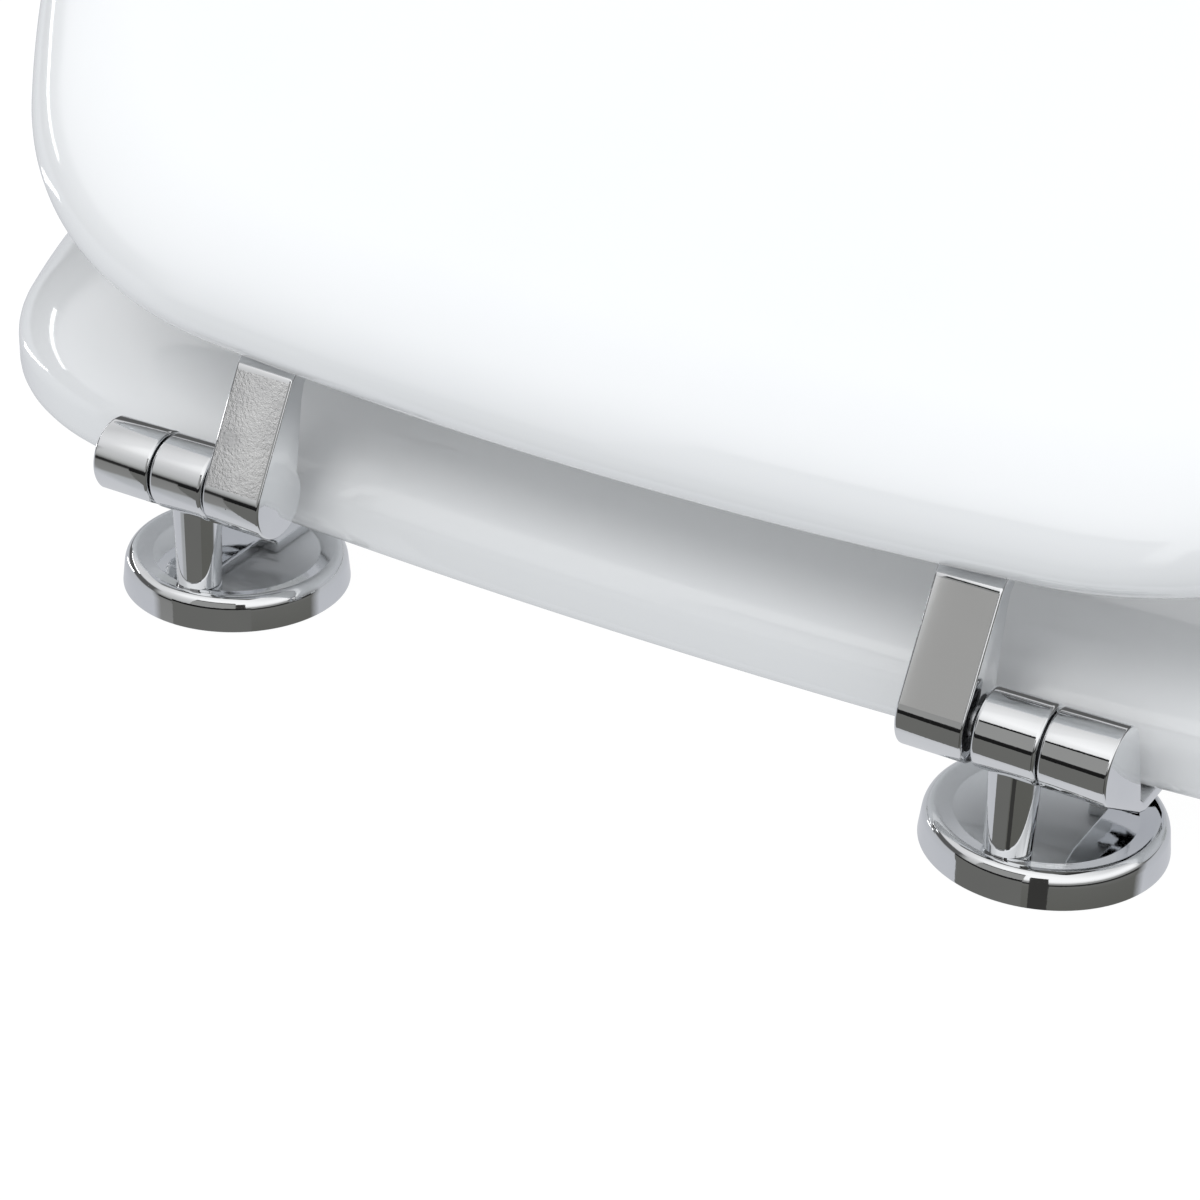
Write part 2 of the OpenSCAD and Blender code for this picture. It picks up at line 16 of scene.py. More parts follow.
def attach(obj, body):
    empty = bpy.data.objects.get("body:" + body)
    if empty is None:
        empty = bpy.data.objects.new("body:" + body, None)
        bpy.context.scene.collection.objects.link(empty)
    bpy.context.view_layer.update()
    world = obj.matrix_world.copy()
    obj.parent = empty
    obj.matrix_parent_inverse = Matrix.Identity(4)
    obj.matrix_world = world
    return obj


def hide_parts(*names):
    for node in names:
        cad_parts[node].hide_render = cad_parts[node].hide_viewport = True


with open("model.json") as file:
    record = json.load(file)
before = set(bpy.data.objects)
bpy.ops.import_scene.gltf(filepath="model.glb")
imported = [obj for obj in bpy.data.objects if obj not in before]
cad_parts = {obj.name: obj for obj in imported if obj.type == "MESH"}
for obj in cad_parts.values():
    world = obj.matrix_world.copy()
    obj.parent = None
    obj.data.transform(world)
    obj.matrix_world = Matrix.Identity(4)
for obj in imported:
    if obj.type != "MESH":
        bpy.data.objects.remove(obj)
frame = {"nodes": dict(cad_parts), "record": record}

log = logging.getLogger("toilet_seat")

MM = 0.001
MERGE_MM = 0.0005
FINE_TURN = 128
SMALL_TURN = 64

Point = tuple[float, float]
Colour = tuple[float, float, float]


class Body(Enum):
    """The bodies of the part, which the pieces ride on."""

    BASE = "base"
    RING = "ring"
    LID = "lid"


class Side(Enum):
    """The hinge on the left or on the right, seen from behind the seat."""

    LEFT = -1
    RIGHT = 1

    @property
    def word(self) -> str:
        """The side's word in the names of nodes."""
        return self.name.lower()


class Slot(Enum):
    """The part's material slots."""

    LACQUER = "white_lacquer"
    CHROME = "chrome"
    ZINC = "zinc"
    STEEL = "steel"
    NYLON = "bush_nylon"
    RUBBER = "pad_rubber"
    BUFFER = "buffer_plastic"


class ArmFace(Enum):
    """How the flat rear face of a lid arm is finished."""

    HAMMERED = "hammered"
    SATIN = "satin"


# Node trees


class Graph:
    """Adds nodes to one node tree and joins them as they are added."""

    def __init__(self, tree: bpy.types.NodeTree) -> None:
        """Keeps the tree.

        Args:
            tree: The node tree that is built.
        """
        self.tree = tree

    def add(
        self, kind: str, inputs: dict[str | int, object] | None = None, **settings: object
    ) -> bpy.types.Node:
        """Adds one node.

        Args:
            kind: The node's type.
            inputs: Values or sockets for its inputs, by name or by number.
            settings: The node's own settings.

        Returns:
            The new node.
        """
        node = self.tree.nodes.new(kind)
        for name, value in settings.items():
            setattr(node, name, value)
        for key, value in (inputs or {}).items():
            socket = self._socket(node, key)
            if isinstance(value, bpy.types.NodeSocket):
                self.tree.links.new(value, socket)
            else:
                socket.default_value = value
        return node

    @staticmethod
    def _socket(node: bpy.types.Node, key: str | int) -> bpy.types.NodeSocket:
        """The input of a node that is in use under a name, or the one with a number."""
        if isinstance(key, int):
            return node.inputs[key]
        return next(s for s in node.inputs if s.name == key and s.enabled)

    @staticmethod
    def out(node: bpy.types.Node, name: str | None = None) -> bpy.types.NodeSocket:
        """The first output of a node that is in use, or the one with a name."""
        return next(s for s in node.outputs if s.enabled and name in (None, s.name))

    def math(self, operation: str, *values: object) -> bpy.types.NodeSocket:
        """A sum on numbers.

        Args:
            operation: The Math node's operation.
            values: Its inputs, in order.

        Returns:
            The result's socket.
        """
        node = self.add("ShaderNodeMath", dict(enumerate(values)), operation=operation)
        return self.out(node)

    def vector(self, operation: str, *values: object) -> bpy.types.NodeSocket:
        """A sum on vectors.

        Args:
            operation: The Vector Math node's operation.
            values: Its inputs, in order.

        Returns:
            The result's socket.
        """
        node = self.tree.nodes.new("ShaderNodeVectorMath")
        node.operation = operation
        for socket, value in zip([s for s in node.inputs if s.enabled], values):
            if isinstance(value, bpy.types.NodeSocket):
                self.tree.links.new(value, socket)
            else:
                socket.default_value = value
        return self.out(node)

    def scaled(self, vector: bpy.types.NodeSocket, factor: object) -> bpy.types.NodeSocket:
        """A vector times a number."""
        node = self.add("ShaderNodeVectorMath", {"Vector": vector, "Scale": factor}, operation="SCALE")
        return self.out(node)


def new_group(
    name: str, kind: str, inputs: Sequence[tuple[str, str, object]], outputs: Sequence[tuple[str, str]]
) -> tuple[Graph, bpy.types.Node, bpy.types.Node]:
    """Starts a node group with named sockets.

    Args:
        name: The group's name.
        kind: The tree's type.
        inputs: Name, socket type and starting value of each input.
        outputs: Name and socket type of each output.

    Returns:
        The graph, its input node and its output node.
    """
    tree = bpy.data.node_groups.new(name, kind)
    for label, socket_type, value in inputs:
        socket = tree.interface.new_socket(label, in_out="INPUT", socket_type=socket_type)
        if value is not None:
            socket.default_value = value
    for label, socket_type in outputs:
        tree.interface.new_socket(label, in_out="OUTPUT", socket_type=socket_type)
    graph = Graph(tree)
    return graph, graph.add("NodeGroupInput"), graph.add("NodeGroupOutput")


# Meshes. Every piece is modelled in millimetres from the hinge axis and carried to its place at the end.


def arc(centre: Point, radius: float, start: float, end: float, steps: int) -> list[Point]:
    """Points on an arc, both ends among them.

    Args:
        centre: The arc's centre.
        radius: Its radius.
        start: The angle of its first point, in degrees.
        end: The angle of its last point, in degrees.
        steps: The number of steps between them.

    Returns:
        The points.
    """
    angles = [math.radians(start + (end - start) * i / steps) for i in range(steps + 1)]
    return [(centre[0] + radius * math.cos(a), centre[1] + radius * math.sin(a)) for a in angles]


def point_mesh(
    name: str, points: Sequence[Sequence[float]], heights: Sequence[float] | None = None
) -> bpy.types.Object:
    """A helper object of loose points that a Geometry Nodes tree reads.

    Args:
        name: The helper's name.
        points: Three numbers for each point.
        heights: A number for each point, kept as the attribute "height".

    Returns:
        The helper, which isn't shown.
    """
    mesh = bpy.data.meshes.new(name)
    mesh.from_pydata([tuple(p) for p in points], [], [])
    if heights is not None:
        mesh.attributes.new("height", "FLOAT", "POINT").data.foreach_set("value", list(heights))
    helper = bpy.data.objects.new(name, mesh)
    return helper


def run_tree(name: str, tree: bpy.types.NodeTree, values: dict[str, object]) -> bpy.types.Mesh:
    """Runs a Geometry Nodes tree once and keeps its result as a plain mesh.

    Args:
        name: The name of the mesh.
        tree: The tree.
        values: The values of its inputs, by name.

    Returns:
        The mesh, in millimetres.
    """
    carrier = bpy.data.objects.new(name + "_carrier", bpy.data.meshes.new(name + "_carrier"))
    modifier = carrier.modifiers.new("rule", "NODES")
    modifier.node_group = tree
    for item in tree.interface.items_tree:
        if item.in_out == "INPUT" and item.name in values:
            modifier[item.identifier] = values[item.name]
    bpy.context.scene.collection.objects.link(carrier)
    return plain_mesh(name, carrier)


def plain_mesh(name: str, carrier: bpy.types.Object) -> bpy.types.Mesh:
    """Turns an object with live modifiers into a plain mesh and removes the object.

    Args:
        name: The name of the mesh.
        carrier: The object with its modifiers.

    Returns:
        The evaluated mesh.
    """
    bpy.context.view_layer.update()
    graph = bpy.context.evaluated_depsgraph_get()
    mesh = bpy.data.meshes.new_from_object(carrier.evaluated_get(graph))
    mesh.name = name
    carrier.modifiers.clear()
    bpy.data.objects.remove(carrier)
    return mesh


def face_outwards(mesh: bpy.types.Mesh) -> None:
    """Merges doubled points and turns every face outwards."""
    shape = bmesh.new()
    shape.from_mesh(mesh)
    bmesh.ops.remove_doubles(shape, verts=shape.verts, dist=MERGE_MM)
    bmesh.ops.recalc_face_normals(shape, faces=shape.faces)
    shape.to_mesh(mesh)
    shape.free()


def mirrored(mesh: bpy.types.Mesh, side: Side) -> bpy.types.Mesh:
    """The mesh itself for the right hinge, or turned into its mirror image for the left one."""
    if side is Side.LEFT:
        mesh.transform(Matrix.Scale(-1, 4, (1, 0, 0)))
        mesh.flip_normals()
    return mesh


def joined(name: str, meshes: Sequence[bpy.types.Mesh]) -> bpy.types.Mesh:
    """Several closed shells as one mesh, with their materials and smooth or flat faces kept.

    Args:
        name: The name of the new mesh.
        meshes: The shells.

    Returns:
        The new mesh.
    """
    shape = bmesh.new()
    materials: list[bpy.types.Material] = []
    for mesh in meshes:
        first = len(shape.faces)
        shape.from_mesh(mesh)
        shape.faces.ensure_lookup_table()
        for material in mesh.materials:
            if material not in materials:
                materials.append(material)
        for face in shape.faces[first:]:
            face.material_index = materials.index(mesh.materials[face.material_index])
    whole = bpy.data.meshes.new(name)
    shape.to_mesh(whole)
    shape.free()
    for material in materials:
        whole.materials.append(material)
    return whole


def solid_from_profile(
    name: str, profile: Sequence[Point], x0: float, x1: float, material: bpy.types.Material
) -> bpy.types.Object:
    """A prism along X whose section is a profile in Y and Z.

    Args:
        name: The object's name.
        profile: The section, anticlockwise seen from +X.
        x0: Where it starts.
        x1: Where it ends.
        material: Its finish.

    Returns:
        The object, linked to the scene.
    """
    count = len(profile)
    points = [(x, y, z) for x in (x0, x1) for y, z in profile]
    faces = [(i, (i + 1) % count, count + (i + 1) % count, count + i) for i in range(count)]
    faces += [tuple(reversed(range(count))), tuple(range(count, 2 * count))]
    mesh = bpy.data.meshes.new(name)
    mesh.from_pydata(points, [], faces)
    mesh.materials.append(material)
    solid = bpy.data.objects.new(name, mesh)
    bpy.context.scene.collection.objects.link(solid)
    face_outwards(mesh)
    return solid


def place_from_axis(sizes: "HingeSizes", on_lid: bool) -> Matrix:
    """Carries a piece from the hinge axis, in millimetres, to its place, in metres.

    Args:
        sizes: The hinge's sizes.
        on_lid: Whether the piece turns with the lid, which stands open.

    Returns:
        The matrix.
    """
    place = Matrix.Scale(MM, 4) @ Matrix.Translation((0, -sizes.axis_back, 0))
    if on_lid:
        axis = Matrix.Translation((0, 0, sizes.axis_h))
        place = place @ axis @ Matrix.Rotation(math.radians(sizes.lid_open), 4, "X") @ axis.inverted()
    return place


def put(
    name: str, mesh: bpy.types.Mesh, sizes: "HingeSizes", body: Body, nodes: Sequence[str],
    sharp_over: float = 40.0,
) -> bpy.types.Object:
    """Puts a finished mesh into the scene as a piece that stands for its nodes.

    Args:
        name: The piece's name.
        mesh: Its mesh, in millimetres from the hinge axis.
        sizes: The hinge's sizes.
        body: The body that it rides on.
        nodes: The nodes that it stands for.
        sharp_over: Edges that turn by more than this many degrees stay sharp.

    Returns:
        The piece.
    """
    mesh.transform(place_from_axis(sizes, body is Body.LID))
    mesh.shade_smooth()
    mesh.set_sharp_from_angle(angle=math.radians(sharp_over))
    mesh.name = name
    piece = bpy.data.objects.new(name, mesh)
    bpy.context.scene.collection.objects.link(piece)
    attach(piece, body.value)
    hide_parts(*nodes)
    mesh.calc_loop_triangles()
    log.info("%s: %d triangles, for %s", name, len(mesh.loop_triangles), ", ".join(nodes))
    return piece


# Geometry Nodes rules


class LoftRule:
    """The rule that ring and lid follow: a section carried round an outline.

    Each point of the section lies at a share of the outline's reach, plus a share of the opening's
    reach, plus an inset, all measured from the middle of the opening, and at its own height.
    """

    def __init__(self) -> None:
        """Builds the tree."""
        inputs = [
            ("Outline", "NodeSocketObject", None),
            ("Section", "NodeSocketObject", None),
            ("Stations", "NodeSocketInt", 3),
            ("Rows", "NodeSocketInt", 2),
            ("Middle", "NodeSocketVector", (0.0, 0.0, 0.0)),
            ("Opening half width", "NodeSocketFloat", 1.0),
            ("Opening behind", "NodeSocketFloat", 1.0),
            ("Opening ahead", "NodeSocketFloat", 1.0),
            ("Opening power", "NodeSocketFloat", 2.0),
            ("Lift", "NodeSocketFloat", 0.0),
            ("Material", "NodeSocketMaterial", None),
        ]
        graph, source, sink = new_group(
            "loft_rule", "GeometryNodeTree", inputs, [("Geometry", "NodeSocketGeometry")]
        )
        self.tree = graph.tree
        given = source.outputs
        grid = graph.add("GeometryNodeMeshGrid", {
            "Vertices X": graph.math("ADD", given["Stations"], 1.0), "Vertices Y": given["Rows"],
        })
        index = graph.out(graph.add("GeometryNodeInputIndex"))
        station = graph.math("FLOOR", graph.math("DIVIDE", index, given["Rows"]))
        row = graph.math("MODULO", index, given["Rows"])
        station = graph.math("MODULO", station, given["Stations"])
        outline = self._sample(graph, given["Outline"], station, None)
        section = self._sample(graph, given["Section"], row, None)
        height = self._sample(graph, given["Section"], row, "height")

        arm = graph.vector("SUBTRACT", outline, given["Middle"])
        reach = graph.out(graph.add("ShaderNodeVectorMath", {0: arm}, operation="LENGTH"), "Value")
        direction = graph.vector("NORMALIZE", arm)
        opening = self._opening(graph, direction, given)
        share = graph.add("ShaderNodeSeparateXYZ", {"Vector": section}).outputs
        radius = graph.math(
            "ADD",
            graph.math("ADD", graph.math("MULTIPLY", share["X"], reach),
                       graph.math("MULTIPLY", share["Y"], opening)),
            share["Z"],
        )
        flat = graph.vector("ADD", given["Middle"], graph.scaled(direction, radius))
        level = graph.math("ADD", given["Lift"], height)
        up = graph.out(graph.add("ShaderNodeCombineXYZ", {"Z": level}))
        moved = graph.add("GeometryNodeSetPosition", {
            "Geometry": graph.out(grid, "Mesh"), "Position": graph.vector("ADD", flat, up),
        })
        merged = graph.add("GeometryNodeMergeByDistance", {
            "Geometry": graph.out(moved), "Distance": MERGE_MM,
        })
        finish_tree(graph, graph.out(merged), given["Material"], sink)

    @staticmethod
    def _sample(
        graph: Graph, helper: bpy.types.NodeSocket, index: bpy.types.NodeSocket, attribute: str | None
    ) -> bpy.types.NodeSocket:
        """Reads one point of a helper.

        Args:
            graph: The tree that is built.
            helper: The helper object's socket.
            index: The point's number.
            attribute: The attribute that is read, or None for the point's position.

        Returns:
            The value's socket.
        """
        info = graph.add("GeometryNodeObjectInfo", {"Object": helper})
        if attribute is None:
            value = graph.out(graph.add("GeometryNodeInputPosition"))
        else:
            named = graph.add("GeometryNodeInputNamedAttribute", {"Name": attribute}, data_type="FLOAT")
            value = graph.out(named, "Attribute")
        sample = graph.add("GeometryNodeSampleIndex", data_type="FLOAT" if attribute else "FLOAT_VECTOR")
        for key, socket in (("Geometry", graph.out(info, "Geometry")), ("Value", value), ("Index", index)):
            graph.tree.links.new(socket, Graph._socket(sample, key))
        return graph.out(sample)

    @staticmethod
    def _opening(
        graph: Graph, direction: bpy.types.NodeSocket, given: bpy.types.bpy_prop_collection
    ) -> bpy.types.NodeSocket:
        """Reach of the opening's edge in a direction, by the rule of a rounded oval.

        Args:
            graph: The tree that is built.
            direction: The direction, of length one.
            given: The tree's inputs.

        Returns:
            The reach's socket.
        """
        part = graph.add("ShaderNodeSeparateXYZ", {"Vector": direction}).outputs
        behind = graph.math("LESS_THAN", part["Y"], 0.0)
        depth = graph.math(
            "ADD", given["Opening ahead"],
            graph.math("MULTIPLY", behind,
                       graph.math("SUBTRACT", given["Opening behind"], given["Opening ahead"])),
        )
        across = graph.math("DIVIDE", graph.math("ABSOLUTE", part["X"]), given["Opening half width"])
        along = graph.math("DIVIDE", graph.math("ABSOLUTE", part["Y"]), depth)
        total = graph.math(
            "ADD", graph.math("POWER", across, given["Opening power"]),
            graph.math("POWER", along, given["Opening power"]),
        )
        return graph.math("POWER", total, graph.math("DIVIDE", -1.0, given["Opening power"]))


def finish_tree(
    graph: Graph, geometry: bpy.types.NodeSocket, material: bpy.types.NodeSocket, sink: bpy.types.Node
) -> None:
    """Ends a tree in Realize Instances and Set Material.

    Args:
        graph: The tree that is built.
        geometry: What it made.
        material: The material's socket.
        sink: The tree's output node.
    """
    real = graph.add("GeometryNodeRealizeInstances", {"Geometry": geometry})
    done = graph.add("GeometryNodeSetMaterial", {"Geometry": graph.out(real), "Material": material})
    graph.tree.links.new(graph.out(done), sink.inputs["Geometry"])


class TurnRule:
    """The rule of every turned piece: a profile of radius and height, carried round an axis."""

    def __init__(self) -> None:
        """Builds the tree."""
        inputs = [
            ("Profile", "NodeSocketObject", None),
            ("Rows", "NodeSocketInt", 2),
            ("Steps", "NodeSocketInt", 32),
            ("Tilt", "NodeSocketVector", (0.0, 0.0, 0.0)),
            ("Foot", "NodeSocketVector", (0.0, 0.0, 0.0)),
            ("Material", "NodeSocketMaterial", None),
        ]
        graph, source, sink = new_group(
            "turn_rule", "GeometryNodeTree", inputs, [("Geometry", "NodeSocketGeometry")]
        )
        self.tree = graph.tree
        given = source.outputs
        grid = graph.add("GeometryNodeMeshGrid", {
            "Vertices X": graph.math("ADD", given["Steps"], 1.0), "Vertices Y": given["Rows"],
        })
        index = graph.out(graph.add("GeometryNodeInputIndex"))
        step = graph.math("FLOOR", graph.math("DIVIDE", index, given["Rows"]))
        row = graph.math("MODULO", index, given["Rows"])
        angle = graph.math("MULTIPLY", graph.math("DIVIDE", step, given["Steps"]), 2 * math.pi)
        section = LoftRule._sample(graph, given["Profile"], row, None)
        part = graph.add("ShaderNodeSeparateXYZ", {"Vector": section}).outputs
        round_about = graph.add("ShaderNodeCombineXYZ", {
            "X": graph.math("MULTIPLY", part["X"], graph.math("COSINE", angle)),
            "Y": graph.math("MULTIPLY", part["X"], graph.math("SINE", angle)),
            "Z": part["Y"],
        })
        turned = graph.add(
            "ShaderNodeVectorRotate", {"Vector": graph.out(round_about), "Rotation": given["Tilt"]},
            rotation_type="EULER_XYZ",
        )
        moved = graph.add("GeometryNodeSetPosition", {
            "Geometry": graph.out(grid, "Mesh"),
            "Position": graph.vector("ADD", graph.out(turned), given["Foot"]),
        })
        merged = graph.add("GeometryNodeMergeByDistance", {
            "Geometry": graph.out(moved), "Distance": MERGE_MM,
        })
        finish_tree(graph, graph.out(merged), given["Material"], sink)

    def make(
        self, name: str, profile: Sequence[Point], foot: Sequence[float], material: bpy.types.Material,
        along_x: bool = False, steps: int = SMALL_TURN,
    ) -> bpy.types.Mesh:
        """Turns one profile.

        Args:
            name: The name of the mesh.
            profile: Radius and height of each point, anticlockwise.
            foot: Where the axis starts.
            material: The piece's finish.
            along_x: Whether the axis runs along X instead of up.
            steps: The number of steps round the axis.

        Returns:
            The mesh, in millimetres.
        """
        helper = point_mesh(name + "_profile", [(r, h, 0.0) for r, h in profile])
        mesh = run_tree(name, self.tree, {
            "Profile": helper, "Rows": len(profile), "Steps": steps, "Foot": tuple(foot),
            "Tilt": (math.pi / 2, 0.0, math.pi / 2) if along_x else (0.0, 0.0, 0.0), "Material": material,
        })
        bpy.data.objects.remove(helper)
        face_outwards(mesh)
        return mesh


class ScatterRule:
    """The rule of the screws: one screw on each of a row of points, tilted alike."""

    def __init__(self) -> None:
        """Builds the tree."""
        inputs = [
            ("Places", "NodeSocketObject", None),
            ("Screw", "NodeSocketObject", None),
            ("Turn step", "NodeSocketFloat", 0.7),
            ("Material", "NodeSocketMaterial", None),
        ]
        graph, source, sink = new_group(
            "scatter_rule", "GeometryNodeTree", inputs, [("Geometry", "NodeSocketGeometry")]
        )
        self.tree = graph.tree
        given = source.outputs
        places = graph.add("GeometryNodeObjectInfo", {"Object": given["Places"]})
        screw = graph.add("GeometryNodeObjectInfo", {"Object": given["Screw"]})
        index = graph.out(graph.add("GeometryNodeInputIndex"))
        turn = graph.add("ShaderNodeCombineXYZ", {"Z": graph.math("MULTIPLY", index, given["Turn step"])})
        rows = graph.add("GeometryNodeInstanceOnPoints", {
            "Points": graph.out(places, "Geometry"), "Instance": graph.out(screw, "Geometry"),
            "Rotation": graph.out(turn),
        })
        finish_tree(graph, graph.out(rows), given["Material"], sink)


# Finishes


@dataclass
class SharedGroups:
    """Effects that more than one finish uses, each built once."""

    ripple: bpy.types.NodeTree = field(init=False)
    smudge: bpy.types.NodeTree = field(init=False)
    specks: bpy.types.NodeTree = field(init=False)

    def __post_init__(self) -> None:
        """Builds the groups."""
        self.ripple = self._ripple()
        self.smudge = self._smudge()
        self.specks = self._specks()

    @staticmethod
    def _ripple() -> bpy.types.NodeTree:
        """Height of the soft waviness of a sprayed or plated surface."""
        graph, source, sink = new_group(
            "surface_ripple", "ShaderNodeTree",
            [("Vector", "NodeSocketVector", None), ("Waves per metre", "NodeSocketFloat", 300.0),
             ("Grain per metre", "NodeSocketFloat", 2000.0), ("Grain share", "NodeSocketFloat", 0.2)],
            [("Height", "NodeSocketFloat")],
        )
        given = source.outputs
        waves = graph.add("ShaderNodeTexNoise", {
            "Vector": given["Vector"], "Scale": given["Waves per metre"], "Detail": 2.0, "Roughness": 0.5,
        })
        grain = graph.add("ShaderNodeTexNoise", {
            "Vector": given["Vector"], "Scale": given["Grain per metre"], "Detail": 1.0,
        })
        height = graph.math(
            "ADD", waves.outputs[0], graph.math("MULTIPLY", grain.outputs[0], given["Grain share"])
        )
        graph.tree.links.new(height, sink.inputs["Height"])
        return graph.tree

    @staticmethod
    def _smudge() -> bpy.types.NodeTree:
        """Roughness that varies in soft patches, as on a handled surface."""
        graph, source, sink = new_group(
            "handling_smudge", "ShaderNodeTree",
            [("Vector", "NodeSocketVector", None), ("Patches per metre", "NodeSocketFloat", 40.0),
             ("Least", "NodeSocketFloat", 0.05), ("Most", "NodeSocketFloat", 0.1)],
            [("Roughness", "NodeSocketFloat"), ("Mask", "NodeSocketFloat")],
        )
        given = source.outputs
        noise = graph.add("ShaderNodeTexNoise", {
            "Vector": given["Vector"], "Scale": given["Patches per metre"], "Detail": 4.0,
        })
        mask = graph.out(graph.add("ShaderNodeMapRange", {
            "Value": noise.outputs[0], "From Min": 0.35, "From Max": 0.65, "To Min": 0.0, "To Max": 1.0,
        }))
        span = graph.math("SUBTRACT", given["Most"], given["Least"])
        rough = graph.math("ADD", given["Least"], graph.math("MULTIPLY", mask, span))
        graph.tree.links.new(rough, sink.inputs["Roughness"])
        graph.tree.links.new(mask, sink.inputs["Mask"])
        return graph.tree

    @staticmethod
    def _specks() -> bpy.types.NodeTree:
        """Mask of sparse tiny specks of dust or pits."""
        graph, source, sink = new_group(
            "fine_specks", "ShaderNodeTree",
            [("Vector", "NodeSocketVector", None), ("Cells per metre", "NodeSocketFloat", 200.0),
             ("Size", "NodeSocketFloat", 0.08), ("Share", "NodeSocketFloat", 0.1)],
            [("Mask", "NodeSocketFloat")],
        )
        given = source.outputs
        cells = graph.add("ShaderNodeTexVoronoi", {
            "Vector": given["Vector"], "Scale": given["Cells per metre"],
        })
        near = graph.math("LESS_THAN", cells.outputs["Distance"], given["Size"])
        lot = graph.add("ShaderNodeSeparateColor", {"Color": cells.outputs["Color"]})
        drawn = graph.math("LESS_THAN", lot.outputs[0], given["Share"])
        graph.tree.links.new(graph.math("MULTIPLY", near, drawn), sink.inputs["Mask"])
        return graph.tree


@dataclass(frozen=True)
class Finish:
    """A surface finish, from whose numbers one material is built."""

    name: str
    colour: Colour
    shade: Colour
    metallic: float
    least_rough: float
    most_rough: float
    waves: float = 300.0
    grain: float = 2000.0
    grain_share: float = 0.2
    bump_mm: float = 0.01
    patches: float = 40.0
    coat: float = 0.0
    speck_colour: Colour = (0.3, 0.3, 0.3)
    speck_cells: float = 120.0
    speck_size: float = 0.05
    speck_share: float = 0.0

    def build(self, groups: SharedGroups) -> bpy.types.Material:
        """Builds the material.

        Args:
            groups: The shared effects.

        Returns:
            The material.
        """
        material = bpy.data.materials.new(self.name)
        material.use_nodes = True
        material.node_tree.nodes.clear()
        graph = Graph(material.node_tree)
        place = graph.add("ShaderNodeTexCoord").outputs["Object"]
        smudge = graph.add("ShaderNodeGroup", node_tree=groups.smudge)
        ripple = graph.add("ShaderNodeGroup", node_tree=groups.ripple)
        specks = graph.add("ShaderNodeGroup", node_tree=groups.specks)
        self._feed(graph, smudge, place, {
            "Patches per metre": self.patches, "Least": self.least_rough, "Most": self.most_rough,
        })
        self._feed(graph, ripple, place, {
            "Waves per metre": self.waves, "Grain per metre": self.grain, "Grain share": self.grain_share,
        })
        self._feed(graph, specks, place, {
            "Cells per metre": self.speck_cells, "Size": self.speck_size, "Share": self.speck_share,
        })
        tone = graph.add(
            "ShaderNodeMix",
            {0: smudge.outputs["Mask"], 6: (*self.colour, 1.0), 7: (*self.shade, 1.0)}, data_type="RGBA",
        )
        spotted = graph.add(
            "ShaderNodeMix",
            {0: specks.outputs["Mask"], 6: tone.outputs[2], 7: (*self.speck_colour, 1.0)},
            data_type="RGBA",
        )
        bump = graph.add("ShaderNodeBump", {
            "Height": ripple.outputs["Height"], "Distance": self.bump_mm * MM, "Strength": 1.0,
        })
        shader = graph.add("ShaderNodeBsdfPrincipled", {
            "Base Color": spotted.outputs[2], "Roughness": smudge.outputs["Roughness"],
            "Metallic": self.metallic, "Coat Weight": self.coat, "Normal": bump.outputs["Normal"],
        })
        end = graph.add("ShaderNodeOutputMaterial")
        graph.tree.links.new(shader.outputs["BSDF"], end.inputs["Surface"])
        return material

    @staticmethod
    def _feed(
        graph: Graph, node: bpy.types.Node, place: bpy.types.NodeSocket, values: dict[str, float]
    ) -> None:
        """Gives a group node its coordinates and its own values."""
        graph.tree.links.new(place, node.inputs["Vector"])
        for label, value in values.items():
            node.inputs[label].default_value = value


LACQUER = Finish(
    "white_lacquer", (0.90, 0.90, 0.895), (0.885, 0.887, 0.885), 0.0, 0.07, 0.11, waves=160.0,
    grain=1200.0, grain_share=0.1, bump_mm=0.006, patches=12.0, coat=0.5,
    speck_colour=(0.35, 0.34, 0.33), speck_cells=45.0, speck_size=0.012, speck_share=0.12,
)
CHROME = Finish(
    "chrome", (0.80, 0.81, 0.82), (0.77, 0.78, 0.795), 1.0, 0.03, 0.06, waves=700.0, grain=3200.0,
    grain_share=0.35, bump_mm=0.004, patches=90.0, speck_colour=(0.25, 0.24, 0.23),
    speck_cells=420.0, speck_size=0.06, speck_share=0.02,
)
HAMMERED_CHROME = Finish(
    "chrome_hammered", (0.82, 0.82, 0.82), (0.74, 0.74, 0.745), 1.0, 0.2, 0.28, waves=1700.0,
    grain=4200.0, grain_share=0.5, bump_mm=0.085, patches=160.0,
)
SATIN_CHROME = Finish(
    "chrome_satin", (0.96, 0.96, 0.965), (0.945, 0.945, 0.95), 1.0, 0.12, 0.16, waves=500.0,
    grain=2400.0, grain_share=0.2, bump_mm=0.003, patches=60.0, speck_colour=(1.0, 1.0, 1.0),
    speck_cells=330.0, speck_size=0.07, speck_share=0.05,
)
ZINC = Finish(
    "zinc", (0.58, 0.59, 0.60), (0.48, 0.49, 0.50), 1.0, 0.35, 0.5, waves=900.0, grain=4000.0,
    grain_share=0.6, bump_mm=0.03, patches=120.0,
)
STEEL = Finish(
    "steel", (0.66, 0.67, 0.68), (0.56, 0.56, 0.57), 1.0, 0.22, 0.36, waves=1500.0, grain=6000.0,
    grain_share=0.5, bump_mm=0.008, patches=200.0,
)
NYLON = Finish(
    "bush_nylon", (0.03, 0.03, 0.033), (0.045, 0.045, 0.048), 0.0, 0.4, 0.55, waves=1500.0,
    grain=6000.0, grain_share=0.5, bump_mm=0.01, patches=200.0,
)
RUBBER = Finish(
    "pad_rubber", (0.68, 0.68, 0.66), (0.60, 0.60, 0.585), 0.0, 0.6, 0.75, waves=900.0, grain=5000.0,
    grain_share=0.8, bump_mm=0.03, patches=90.0,
)
